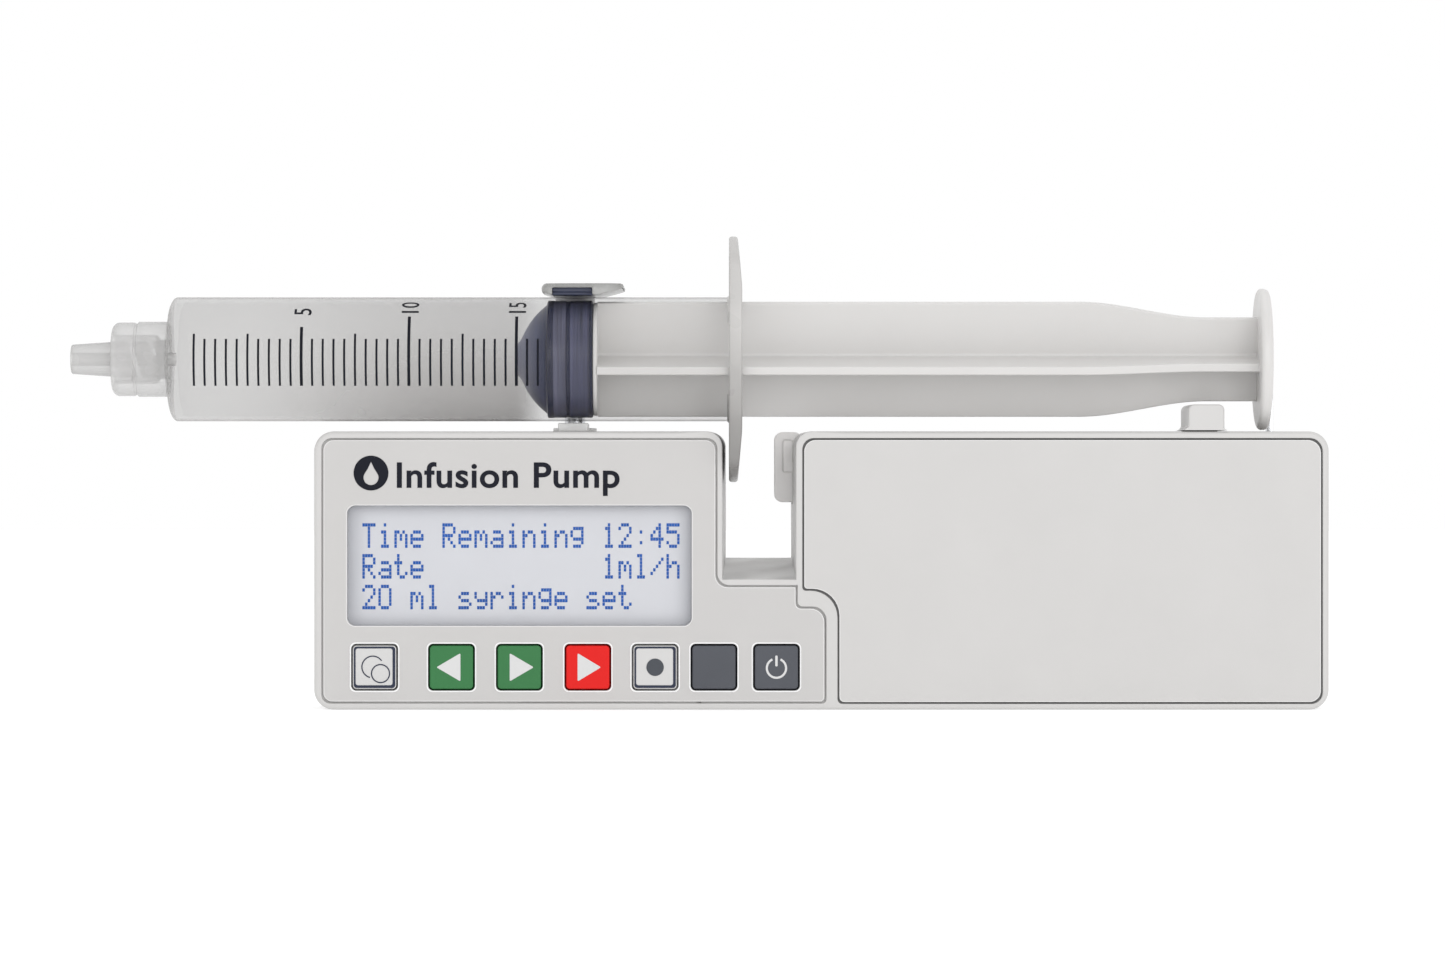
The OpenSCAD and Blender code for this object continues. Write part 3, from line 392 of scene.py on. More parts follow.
def piece(name, bm, body, material, stands_for=(), bevel=0.0, segments=3, smooth=35,
          edge_material=None):
    """Makes an object of a bmesh in millimetres. bevel is the width that a bevel weight of 1 gives."""
    bmesh.ops.recalc_face_normals(bm, faces=bm.faces)
    bmesh.ops.scale(bm, vec=(MM,) * 3, verts=bm.verts)
    mesh = bpy.data.meshes.new(name)
    bm.to_mesh(mesh)
    bm.free()
    obj = bpy.data.objects.new(name, mesh)
    bpy.context.scene.collection.objects.link(obj)
    mesh.materials.append(MATERIALS[material])
    mesh.shade_smooth()
    if bevel:
        cut = obj.modifiers.new("bevel", "BEVEL")
        cut.width = bevel * MM
        cut.segments = segments
        cut.limit_method = "WEIGHT"
        cut.use_clamp_overlap = False
        cut.loop_slide = False
        if edge_material:
            mesh.materials.append(MATERIALS[edge_material])
            cut.material = 1
    mesh.set_sharp_from_angle(angle=math.radians(smooth))
    if bevel:
        sharp = mesh.attributes.get("sharp_edge")
        weight = mesh.attributes.get("bevel_weight_edge")
        for i in range(len(mesh.edges) if sharp and weight else 0):
            sharp.data[i].value = sharp.data[i].value and weight.data[i].value == 0
    obj.modifiers.new("normals", "WEIGHTED_NORMAL").keep_sharp = True
    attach(obj, body)
    if stands_for:
        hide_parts(*stands_for)
    return obj


def paint(obj, names, slot_of):
    """Adds materials to an object. slot_of says which of the object's materials a face takes."""
    for name in names:
        obj.data.materials.append(MATERIALS[name])
    for face in obj.data.polygons:
        face.material_index = slot_of(face)


def real_edges(bm):
    return [e for e in bm.edges if len(e.link_faces) == 2
            and e.calc_face_angle() > math.radians(SEAM_ANGLE)]


def refined(node, body, material, width_of, bevel, segments=3, x_cuts=(), z_cuts=(),
            edge_material=None):
    """A CAD node's copy with its edges rounded. width_of gives an edge's width in millimetres."""
    bm = cad_copy(node, x_cuts, z_cuts)
    weight = bm.edges.layers.float.new("bevel_weight_edge")
    for edge in real_edges(bm):
        edge[weight] = min(1.0, width_of(edge) / bevel)
    return piece(node + "_shell", bm, body, material, (node,), bevel, segments,
                 edge_material=edge_material)


def at_depth(edge, y):
    return all(abs(v.co.y - y) < 0.01 for v in edge.verts)


def side_reach(edge, y):
    """How far from depth y the edge's side face reaches, for an edge between a flat face and a side."""
    sides = [f for f in edge.link_faces if abs(f.normal.y) < 0.5]
    return max((abs(v.co.y - y) for f in sides for v in f.verts), default=0)


def rounded_corners(points, radii, steps=6):
    """A closed outline with its corners rounded. radii holds one radius per corner."""
    out = []
    count = len(points)
    for i, (point, radius) in enumerate(zip(points, radii)):
        corner = Vector(point)
        if radius <= 0:
            out.append(tuple(corner))
            continue
        before = (Vector(points[i - 1]) - corner).normalized()
        after = (Vector(points[(i + 1) % count]) - corner).normalized()
        half = before.angle(after) / 2
        start = corner + before * (radius / math.tan(half))
        end = corner + after * (radius / math.tan(half))
        centre = corner + (before + after).normalized() * (radius / math.sin(half))
        for k in range(steps + 1):
            t = k / steps
            spoke = ((start - centre) * (1 - t) + (end - centre) * t).normalized()
            out.append(tuple(centre + spoke * radius))
    return out


def lathe(profile, steps=144, closed=False):
    """A solid of revolution about the syringe's axis. Each point is (x, radius), or a function of the
    angle that gives them."""
    bm = bmesh.new()
    rings = []
    for point in profile:
        places = [point(2 * math.pi * i / steps) if callable(point) else point for i in range(steps)]
        if max(r for _, r in places) < 1e-6:
            rings.append([bm.verts.new((places[0][0], AXIS_Y, AXIS_Z))])
            continue
        rings.append([bm.verts.new((x, AXIS_Y + r * math.cos(2 * math.pi * i / steps),
                                    AXIS_Z + r * math.sin(2 * math.pi * i / steps)))
                      for i, (x, r) in enumerate(places)])
    pairs = list(zip(rings, rings[1:])) + ([(rings[-1], rings[0])] if closed else [])
    for a, b in pairs:
        for i in range(steps):
            j = (i + 1) % steps
            quad = [a[i % len(a)], a[j % len(a)], b[j % len(b)], b[i % len(b)]]
            corners = list(dict.fromkeys(quad))
            if len(corners) > 2:
                bm.faces.new(corners)
    return bm


def quarter(x, r, dx, dr, steps=8, concave=False):
    """Points of a quarter ellipse from (x, r) to (x + dx, r + dr), leaving along the radius."""
    out = []
    for i in range(steps + 1):
        a = math.pi / 2 * i / steps
        if concave:
            out.append((x + dx * math.sin(a), r + dr * (1 - math.cos(a))))
        else:
            out.append((x + dx * (1 - math.cos(a)), r + dr * math.sin(a)))
    return out


def merge(bm, other):
    """Adds another bmesh's faces to bm, and frees it."""
    mesh = bpy.data.meshes.new("scratch")
    other.to_mesh(mesh)
    other.free()
    bm.from_mesh(mesh)
    bpy.data.meshes.remove(mesh)
    return bm


def flat_shape(loops, thickness):
    """A thin plate in its own XY plane from closed outlines; an outline within another is a hole."""
    curve = bpy.data.curves.new("scratch", "CURVE")
    curve.dimensions = "2D"
    curve.fill_mode = "BOTH"
    curve.extrude = thickness / 2
    for loop in loops:
        spline = curve.splines.new("POLY")
        spline.points.add(len(loop) - 1)
        for point, (x, y) in zip(spline.points, loop):
            point.co = (x, y, 0, 1)
        spline.use_cyclic_u = True
    return from_curve(curve)


def from_curve(curve):
    obj = bpy.data.objects.new("scratch", curve)
    bpy.context.scene.collection.objects.link(obj)
    mesh = bpy.data.meshes.new_from_object(obj.evaluated_get(bpy.context.evaluated_depsgraph_get()))
    bm = bmesh.new()
    bm.from_mesh(mesh)
    bmesh.ops.remove_doubles(bm, verts=bm.verts, dist=0.0005)
    bpy.data.objects.remove(obj)
    bpy.data.curves.remove(curve)
    bpy.data.meshes.remove(mesh)
    return bm


def lettering(text, height, weight=0.0, spacing=1.0, thickness=PRINT_THICK):
    """Plain lettering whose capitals are height tall, in its own XY plane, with its left end at 0."""
    curve = bpy.data.curves.new("scratch", "FONT")
    curve.body = text
    curve.size = height / 0.73
    curve.offset = weight
    curve.space_character = spacing
    curve.extrude = thickness / 2
    curve.resolution_u = 6
    bm = from_curve(curve)
    left = min(v.co.x for v in bm.verts)
    bmesh.ops.translate(bm, vec=(-left, 0, 0), verts=bm.verts)
    return bm


def on_front(bm, x, y, z):
    """Stands a flat shape up to face the front, with its origin at x, y, z."""
    turn = Matrix.Rotation(math.pi / 2, 4, "X")
    bmesh.ops.transform(bm, matrix=Matrix.Translation((x, y, z)) @ turn, verts=bm.verts)
    return bm


def ring(x, y, radius, steps=64):
    return [(x + radius * math.cos(2 * math.pi * i / steps), y + radius * math.sin(2 * math.pi * i / steps))
            for i in range(steps)]


def band(x, y, radius, width, start, end, steps=48):
    """The outline of a stroke along an arc, from one angle to another in degrees."""
    angles = [math.radians(start + (end - start) * i / steps) for i in range(steps + 1)]
    out = [(x + (radius + width / 2) * math.cos(a), y + (radius + width / 2) * math.sin(a)) for a in angles]
    back = [(x + (radius - width / 2) * math.cos(a), y + (radius - width / 2) * math.sin(a))
            for a in reversed(angles)]
    return out + back


def rectangle(x0, x1, y0, y1, radius=0.0):
    return rounded_corners([(x0, y0), (x1, y0), (x1, y1), (x0, y1)], [radius] * 4)


def loft(bm, rings):
    """Joins closed rings of vertices into a solid, with one face on each end."""
    for a, b in zip(rings, rings[1:]):
        for k in range(len(a)):
            j = (k + 1) % len(a)
            bm.faces.new((a[k], a[j], b[j], b[k]))
    bm.faces.new(rings[0])
    bm.faces.new(rings[-1])


def tube(points, radius, sides=10):
    """A closed tube along a list of points."""
    bm = bmesh.new()
    rings = []
    for i, point in enumerate(points):
        ahead = (points[min(i + 1, len(points) - 1)] - points[max(i - 1, 0)]).normalized()
        side = ahead.cross(Vector((0.3, 0.5, 0.81))).normalized()
        up = ahead.cross(side)
        rings.append([bm.verts.new(point + radius * (math.cos(a) * side + math.sin(a) * up))
                      for a in [2 * math.pi * k / sides for k in range(sides)]])
    loft(bm, rings)
    return bm


# ---------- housing ----------

OUTER_ROUND = 0.6
SLOT_ROUND = 0.18
SLIM_ROUND = 0.25
SEAM_ROUND = 0.15
CASE_HALF_W, CORNER_R = 84.5, 3.3
SLOT_LEFT, SLOT_RIGHT, SLOT_FLOOR = -16.5, -4.25, 21.7
SLOT_TOP_R = 2.7
# The round widens in these small steps on both sides of the slot
SLOT_STEPS = (-25, -24, -23, -22, -21, -20, -1, 0, 2, 3, 4)
SCREW_XS = (-81.2, -80.0, -21.2, 1.5, 22.8)


def middle_of(edge):
    return (edge.verts[0].co + edge.verts[1].co) / 2


def case_edge(face_y):
    """Edge widths of one half of the housing, whose face is at face_y. The rim beside the slot is slim."""
    def width(edge):
        middle = middle_of(edge)
        if at_depth(edge, face_y):
            if side_reach(edge, face_y) < 7:
                return SEAM_ROUND
            if face_y > 0 and (middle.x > 83 and middle.z < 32 or middle.x > 81.2 and middle.z < 3.3):
                return 0  # beside the battery door's opening
            if middle.z < SLOT_FLOOR - 1:
                return OUTER_ROUND
            beyond = max(SLOT_LEFT - SLOT_TOP_R - middle.x, middle.x - SLOT_RIGHT - SLOT_TOP_R, 1) - 1
            return SLOT_ROUND + (OUTER_ROUND - SLOT_ROUND) * min(1, beyond / 5)
        if at_depth(edge, PARTING_Y) and on_outline(middle):
            return SLIM_ROUND
        return 0
    return width


def on_outline(place):
    """True on the housing's outer walls, away from the slot."""
    dx = abs(place.x) - (CASE_HALF_W - CORNER_R)
    dz = abs(place.z - CASE_TOP / 2) - (CASE_TOP / 2 - CORNER_R)
    out = math.hypot(max(dx, 0), max(dz, 0)) + min(max(dx, dz), 0) - CORNER_R
    over_slot = place.z > CASE_TOP - 0.1 and -20 < place.x < 4
    return abs(out) < 0.06 and not over_slot


def plate_edge(edge):
    return SEAM_ROUND if at_depth(edge, FRONT_Y) else 0


def door_edge(edge):
    return 0.2 if at_depth(edge, REAR_Y) else 0


def head_edge(edge):
    """The nub's edges, but not the thin feet of its fillets."""
    return 0.35 if min(v.co.z for v in edge.verts) > CASE_TOP + 0.55 else 0


def build_housing():
    front = refined("front_case", "housing", "case_plastic", case_edge(FRONT_Y), OUTER_ROUND,
                    4, x_cuts=(-50.3, 40, *SLOT_STEPS))
    cover_left = box("drive_cover")[0].x

    def under_cover(face):
        middle = face.center / MM
        top = max(front.data.vertices[i].co.z for i in face.vertices) / MM
        seat = abs(middle.y - PLATE_BACK) < 0.05 and face.normal.y < -0.9
        return 1 if seat and middle.x > cover_left - 0.2 and top > 30 else 0

    paint(front, ["seam_shadow"], under_cover)
    refined("rear_case", "housing", "case_plastic", case_edge(REAR_Y), OUTER_ROUND, 4,
            x_cuts=(*SCREW_XS, *SLOT_STEPS, box("clamp_post")[0].x + 1.75))
    # The plates' bevels take the lighter edge plastic, a painted highlight along their edges.
    refined("keypad_panel", "housing", "panel_film", plate_edge, SEAM_ROUND,
            edge_material="edge_highlight_plastic")
    refined("drive_cover", "housing", "cover_plastic", plate_edge, SEAM_ROUND,
            edge_material="edge_highlight_plastic")
    refined("battery_door", "door", "case_plastic", door_edge, 0.2)
    refined("actuator_head", "actuator", "case_plastic", head_edge, 0.35)
    # The sensor takes the lighter plastic, painted light against the slot's shade.
    refined("flange_sensor", "sensor", "sensor_plastic", lambda e: 0.25, 0.25)
    refined("saddle_pad", "housing", "saddle_clear", lambda e: 0.25, 0.25)


# ---------- display ----------

# Strokes of each character on a grid 5 dots wide and 7 high: column and row of both ends
STROKES = {
    "T": "06-46 26-20", "i": "26-26 14-24 24-20 10-30", "m": "04-00 14-14 34-34 23-22 43-40",
    "e": "14-34 03-01 43-43 02-42 10-30", "R": "06-00 16-36 45-44 03-33 22-22 31-31 40-40",
    "a": "14-34 43-40 12-32 01-01 10-30", "n": "04-00 13-13 24-34 43-40",
    "g": "15-45 04-03 44-41 12-42 10-30", "1": "26-20 15-15 10-30", "2": "16-36 05-05 45-44 33-11 00-40",
    ":": "24-24 21-21", "4": "36-30 25-03 02-42", "5": "06-46 05-04 14-34 43-41 01-01 10-30",
    "t": "16-11 04-24 41-41 20-30", "l": "26-20 16-16 10-30", "/": "45-01",
    "h": "06-00 13-13 24-34 43-40", "0": "16-36 05-01 45-41 10-30",
    "s": "14-34 03-03 12-32 41-41 00-30", "y": "04-03 44-41 12-42 10-30", "r": "04-00 13-13 24-34 43-43",
}
LINES = ["Time Remaining 12:45", "Rate           1ml/h", "20 ml syringe set"]


def dots(strokes):
    """The dots that a character's strokes pass through."""
    found = set()
    for stroke in strokes.split():
        (x0, y0), (x1, y1) = [(int(end[0]), int(end[1])) for end in stroke.split("-")]
        steps = max(abs(x1 - x0), abs(y1 - y0), 1)
        for i in range(steps + 1):
            found.add((round(x0 + (x1 - x0) * i / steps), round(y0 + (y1 - y0) * i / steps)))
    return found


def build_display():
    low, high = box("lcd_glass")
    window_low, window_high = box("display_window")
    refined("display_window", "housing", "window_clear", lambda e: 0.15, 0.15)
    refined("lcd_glass", "housing", "lcd", lambda e: 0.1, 0.1)
    columns, dot_w, dot_h, line_step = 20, 0.445, 0.593, 5.13
    width = columns * 6 * dot_w - dot_w
    left = (window_low.x + window_high.x - width) / 2 + 0.2
    top = window_high.z - 2.85
    bm = bmesh.new()
    for row, line in enumerate(LINES):
        for column, letter in enumerate(line):
            for dx, dz in dots(STROKES.get(letter, "")):
                x = left + (column * 6 + dx + 0.5) * dot_w
                z = top - row * line_step - (6.5 - dz) * dot_h
                place = Matrix.Translation((x, low.y - 0.015, z))
                size = Matrix.Diagonal((dot_w - 0.035, 0.03, dot_h - 0.045, 1))
                bmesh.ops.create_cube(bm, size=1, matrix=place @ size)
    piece("display_text", bm, "housing", "lcd_ink")


# ---------- printing on the panel ----------

def droplet(x, y, size):
    """The outline of a drop, with its point up."""
    round_part = [(x + size * math.cos(a), y + size * math.sin(a))
                  for a in [math.radians(150 + 240 * i / 24) for i in range(25)]]
    shoulder, shoulder_y = 0.42 * size, y + 1.2 * size
    return round_part + [(x + shoulder, shoulder_y), (x, y + 2.1 * size), (x - shoulder, shoulder_y)]


def build_header():
    left = box("display_window")[0].x
    base_z = box("display_window")[1].z + 3.15
    centre_z = base_z + 2.35
    y = FRONT_Y - PRINT_LIFT
    emblem_x = left + 3.9
    emblem = flat_shape([ring(emblem_x, 0, 2.9), droplet(emblem_x, -0.75, 1.25)], PRINT_THICK)
    piece("emblem", on_front(emblem, 0, y, centre_z), "housing", "print_ink")
    words = lettering("Infusion Pump", 4.3, weight=0.11, spacing=1.05)
    width = max(v.co.x for v in words.verts)
    bmesh.ops.scale(words, vec=(min(1.06, 46.4 / width), 1, 1), verts=words.verts)
    piece("header_words", on_front(words, left + 8.2, y, base_z), "housing", "print_ink")


# ---------- keys ----------

KEY_MATERIALS = {"mode_key": "key_white", "back_key": "key_green", "next_key": "key_green",
                 "start_key": "key_red", "stop_key": "key_white", "light_key": "key_grey",
                 "power_key": "key_grey"}


def arrow(tip, tail, half=2.35):
    return rounded_corners([(tip, 0), (tail, half), (tail, -half)], [0.12] * 3, 3)


def outline_frame(half):
    """A printed line around a key's face, heavier to the right and below."""
    outer = rectangle(-half, half, -half, half, 0.5)
    inner = rectangle(-half + 0.3, half - 0.45, -half + 0.45, half - 0.32, 0.4)
    return [outer, inner]


def build_keys():
    for node, material in KEY_MATERIALS.items():
        bevel = 0.12 if material == "key_white" else 0.22
        refined(node, node, material, lambda e: bevel, bevel)
    face_y = box("mode_key")[0].y - PRINT_LIFT
    half, halo_outer, halo_inner = 3.45, 4.13, 3.92
    # Painted highlight: a light ring on the panel round each key.
    halos = bmesh.new()
    for node in KEY_MATERIALS:
        low, high = box(node)
        halo = flat_shape([rectangle(-halo_outer, halo_outer, -halo_outer, halo_outer, 0.95),
                           rectangle(-halo_inner, halo_inner, -halo_inner, halo_inner, 0.8)], PRINT_THICK)
        merge(halos, on_front(halo, (low.x + high.x) / 2, FRONT_Y - PRINT_LIFT, (low.z + high.z) / 2))
    piece("key_halos", halos, "housing", "halo_highlight")
    icons = {
        "mode_key": [("mode_outline", outline_frame(half), "navy_ink"),
                     ("mode_circles", [band(-0.3, 0.05, 1.8, 0.2, 35, 255)], "navy_ink"),
                     ("mode_ring", [ring(1.0, -1.05, 1.6), ring(1.0, -1.05, 1.4)], "navy_ink")],
        "back_key": [("back_arrow", [arrow(-2.5, 1.5)], "icon_ink")],
        "next_key": [("next_arrow", [arrow(2.4, -1.6)], "icon_ink")],
        "start_key": [("start_arrow", [arrow(2.2, -1.7)], "icon_ink")],
        "stop_key": [("stop_outline", outline_frame(half), "navy_ink"),
                     ("stop_dot", [ring(0, 0, 1.45)], "grey_ink")],
        "power_key": [("power_ring", [band(0, -0.15, 1.6, 0.36, 115, 425)], "icon_ink"),
                      ("power_bar", [rectangle(-0.2, 0.2, 0.15, 1.95, 0.15)], "icon_ink")],
    }
    for node, shapes in icons.items():
        low, high = box(node)
        x, z = (low.x + high.x) / 2, (low.z + high.z) / 2
        for name, loops, ink in shapes:
            piece(name, on_front(flat_shape(loops, PRINT_THICK), x, face_y, z), node, ink)


# ---------- syringe ----------

def flange_radius(angle):
    """The finger flange's outline: a round plate with two flats, front and rear."""
    flat = FLANGE_HALF_W / max(abs(math.cos(angle)), 1e-4)
    sharpness = 22
    return (flat ** -sharpness + FLANGE_R ** -sharpness) ** (-1 / sharpness)


def flange_point(x, share, inset=0.0, right=False):
    """A point of the flange at some share of the way from the barrel to its rim."""
    def at(angle):
        rim = flange_radius(angle) - inset
        r = BARREL_R + (rim - BARREL_R) * share
        height = abs(math.sin(angle)) * r
        taper = 0.75 * min(1.0, max(0.0, (height - BARREL_R - 1.5) / (FLANGE_R - BARREL_R - 1.5)))
        return (x - taper if right else x, r)
    return at


def build_barrel():
    nozzle_x, tip_r = BARREL_LOW.x, 2.48
    outer = [(nozzle_x, 1.1), (nozzle_x, tip_r - 0.35)]
    outer += quarter(nozzle_x, tip_r - 0.35, 0.35, 0.35, 5)
    outer += [(COLLAR_LOW.x - 0.4, 2.9), (COLLAR_LOW.x + 0.2, 3.0), (BARREL_LEFT - 0.6, 3.12)]
    outer += quarter(BARREL_LEFT - 0.6, 3.12, 0.6, 0.7, 4, concave=True)
    outer += [(BARREL_LEFT, BARREL_R - 3.5)]
    outer += quarter(BARREL_LEFT, BARREL_R - 3.5, 1.5, 3.5, 12)
    outer += [(BARREL_LEFT + 10 + 9.9 * i, BARREL_R) for i in range(9)]
    outer += [(FLANGE_LEFT - 0.3, BARREL_R)]
    left, right = FLANGE_LEFT, FLANGE_RIGHT
    plate = [flange_point(left, 0.03), flange_point(left, 0.5), flange_point(left, 1, 0.4)]
    plate += [flange_point(left + 0.12, 1, 0.12), flange_point(left + 0.4, 1)]
    plate += [flange_point(right - 0.4, 1, 0, True), flange_point(right - 0.12, 1, 0.12, True)]
    plate += [flange_point(right, 1, 0.4, True), flange_point(right, 0.5, 0, True)]
    plate += [flange_point(right, 0.15, 0, True), (right, BORE_R + 0.3)]
    inner = [(right - 0.3, BORE_R), (-19, BORE_R), (-19.2, BORE_R - 0.05), (-19.4, BORE_R - 0.05)]
    inner += [(-19.6, BORE_R)] + [(-30 - 10 * i, BORE_R) for i in range(8)]
    inner += [(BARREL_LEFT + 3.4, BORE_R), (BARREL_LEFT + 2.5, BORE_R - 0.5)]
    inner += [(BARREL_LEFT + 2.1, BORE_R - 1.9), (BARREL_LEFT + 1.6, 1.6), (BARREL_LEFT + 1.1, 1.1)]
    bm = lathe(outer + plate + inner, closed=True)
    obj = piece("barrel", bm, "syringe", "barrel_clear", ("syringe_barrel",))

    def part_of_barrel(face):
        middle = face.center / MM
        radius = math.hypot(middle.y - AXIS_Y, middle.z - AXIS_Z)
        if radius < 1.7 and middle.x > BARREL_LEFT - 3:
            return 3
        if middle.x < BARREL_LEFT + 0.2:
            return 1
        if radius > BARREL_R + 0.05:
            return 2
        return 3 if radius < BORE_R + 0.05 and middle.x > BARREL_LEFT + 1 else 0

    paint(obj, ["nozzle_clear", "flange_clear", "bore_clear"], part_of_barrel)


def thread_ridge(start, lead, radius, height, half_width, x0, x1, steps=90):
    """A low helical ridge on a round wall about the syringe's axis."""
    bm = bmesh.new()
    rings = []
    for i in range(steps + 1):
        share = i / steps
        x = x0 + (x1 - x0) * share
        a = start + 2 * math.pi * (x - x0) / lead
        fade = min(1.0, 8 * share, 8 * (1 - share)) + 0.02
        rings.append([bm.verts.new((x + dx, AXIS_Y + r * math.cos(a), AXIS_Z + r * math.sin(a)))
                      for dx, r in [(-half_width, radius), (-half_width / 3, radius - height * fade),
                                    (half_width / 3, radius - height * fade), (half_width, radius)]])
    loft(bm, rings)
    return bm


def build_collar():
    x0, x1 = COLLAR_LOW.x, COLLAR_HIGH.x
    top_r, bore = (COLLAR_HIGH.z - COLLAR_LOW.z) / 2, 4.1
    step_x = x0 + 4.3
    profile = [(x0 + 0.25, bore), (x0, bore + 0.25), (x0, bore + 0.7)]
    profile += quarter(x0, bore + 0.7, 1.3, top_r - 0.12 - bore - 0.7, 10)
    profile += [(step_x - 0.5, top_r - 0.12), (step_x - 0.35, top_r - 0.28), (step_x - 0.1, top_r - 0.28)]
    profile += [(step_x + 0.15, top_r), (x1 - 0.25, top_r), (x1 - 0.03, top_r - 0.25), (x1 - 0.03, 3.35)]
    profile += [(x1 - 1.4, 3.3), (x1 - 2.0, bore)]
    bm = lathe(profile, closed=True)
    piece("luer_collar_shell", bm, "syringe", "collar_clear", ("luer_collar",))
    threads = bmesh.new()
    for start in (0.4, 0.4 + math.pi):
        merge(threads, thread_ridge(start, 7.0, bore - 0.02, 0.5, 0.4, x0 + 0.9, x1 - 2.2))
    piece("luer_threads", threads, "syringe", "thread_clear")


def rib_half(x):
    """Half the height of the plunger's ribs: they narrow before the thumb disc."""
    t = min(1.0, max(0.0, (x - NARROW_FROM) / (NARROW_TO - NARROW_FROM)))
    return RIB_REACH - (RIB_REACH - RIB_END) * t * t * (3 - 2 * t)


def cross_section(half, thick=1.4):
    """The plunger's cross, with rounded tips and small fillets where the ribs meet."""
    t = thick / 2
    arm = [(half, -t), (half, t), (t, t)]
    points, radii = [], []
    for quarter_turn in range(4):
        c, s = math.cos(quarter_turn * math.pi / 2), math.sin(quarter_turn * math.pi / 2)
        points += [(c * u - s * v, s * u + c * v) for u, v in arm]
        radii += [0.22, 0.22, 0.5]
    return rounded_corners(points, radii, 3)


def build_plunger():
    x0, x1 = PLUNGER_LOW.x, PLUNGER_HIGH.x
    thumb_r = (PLUNGER_HIGH.z - PLUNGER_LOW.z) / 2
    disc_x = STOPPER_HIGH.x
    stations = [disc_x + 0.7 + (43.0 - disc_x - 0.7) * i / 6 for i in range(7)]
    stations += [NARROW_FROM + (NARROW_TO - NARROW_FROM) * i / 36 for i in range(37)] + [66, x1 - 1.9]
    bm = bmesh.new()
    rings = []
    c, s = math.cos(RIB_TURN), math.sin(RIB_TURN)
    for x in stations:
        rings.append([bm.verts.new((x, AXIS_Y + c * u - s * v, AXIS_Z + s * u + c * v))
                      for u, v in cross_section(rib_half(x))])
    loft(bm, rings)
    disc_r = BORE_R - 0.4
    front = [(disc_x, 0), (disc_x, disc_r - 0.25)] + quarter(disc_x, disc_r - 0.25, 0.25, 0.25, 4)
    front += [(disc_x + 0.6, disc_r), (disc_x + 0.75, disc_r - 0.2), (disc_x + 0.8, 0)]
    merge(bm, lathe(front))
    merge(bm, lathe([(x0, 0), (x0, 4.3), (x0 + 0.2, 4.5), (disc_x + 0.1, 4.5), (disc_x + 0.1, 0)]))
    thick = 2.0
    left = x1 - thick
    thumb = [(left, 0), (left, thumb_r - 0.9)] + quarter(left, thumb_r - 0.9, 0.75, 0.9, 8)
    thumb += [(x1 - 0.95 + 0.95 * math.sin(a), thumb_r - 0.9 * (1 - math.cos(a)))
              for a in [math.pi / 2 * i / 8 for i in range(1, 9)]]
    thumb += [(x1, thumb_r - 1.1), (x1, 0)]
    merge(bm, lathe(thumb))
    piece("plunger", bm, "plunger", "plunger_plastic", ("plunger_rod",))


def build_stopper():
    x0, x1 = STOPPER_LOW.x, STOPPER_HIGH.x
    r = STOPPER_R
    profile = [(x0, 0), (x0, 2.5), (x0 + 0.12, 2.85), (x0 + 0.5, 3.25)]
    tip, shoulder = Vector((x0 + 0.5, 3.25)), Vector((x0 + 4.9, r - 0.75))
    for i in range(1, 11):
        t = i / 10
        bulge = 0.55 * math.sin(math.pi * t)
        profile.append(tuple(tip.lerp(shoulder, t) + Vector((-0.5, 0.85)) * bulge))
    profile += [(x0 + 5.0, r - 0.3), (x0 + 5.15, r), (x0 + 6.0, r)]
    profile += [(x0 + 6.1, r - 0.05), (x0 + 8.2, r - 0.05), (x0 + 8.3, r - 0.15)]
    profile += [(x0 + 8.5, r - 0.2), (x0 + 8.8, r - 0.15), (x0 + 8.9, r - 0.05)]
    profile += [(x1 - 0.6, r - 0.05), (x1 - 0.5, r), (x1 - 0.35, r), (x1 - 0.1, r - 0.2)]
    profile += [(x1 - 0.02, r - 0.5), (x1 - 0.02, 4.6), (PLUNGER_LOW.x - 0.05, 4.6)]
    profile += [(PLUNGER_LOW.x - 0.05, 0)]
    obj = piece("stopper", lathe(profile), "plunger", "stopper_rubber",
                ("plunger_stopper",))

    # Each band takes a copy of the rubber: painted light on the two lands, painted shade on the rings at
    # the bore and on the groove between.
    def stripe(face):
        middle = face.center / MM
        x = middle.x
        if math.hypot(middle.y - AXIS_Y, middle.z - AXIS_Z) < r - 0.4 or x < x0 + 5.05:
            return 0
        if x0 + 6.05 < x < x0 + 8.25:
            return 1
        return 2 if x0 + 8.9 < x < x1 - 0.55 else 3

    paint(obj, ["stopper_painted_highlight", "stopper_painted_light", "stopper_painted_shade"], stripe)


def surface_patch(bm, x0, x1, a0, a1, radius, thick=0.04):
    """A thin curved plate on the barrel, between two places along it and two angles above its front."""
    steps = max(2, round(abs(a1 - a0) / 3))
    rings = []
    for i in range(steps + 1):
        a = math.radians(a0 + (a1 - a0) * i / steps)
        rings.append([bm.verts.new((x, AXIS_Y - r * math.cos(a), AXIS_Z + r * math.sin(a)))
                      for x, r in [(x0, radius), (x1, radius), (x1, radius + thick), (x0, radius + thick)]])
    loft(bm, rings)


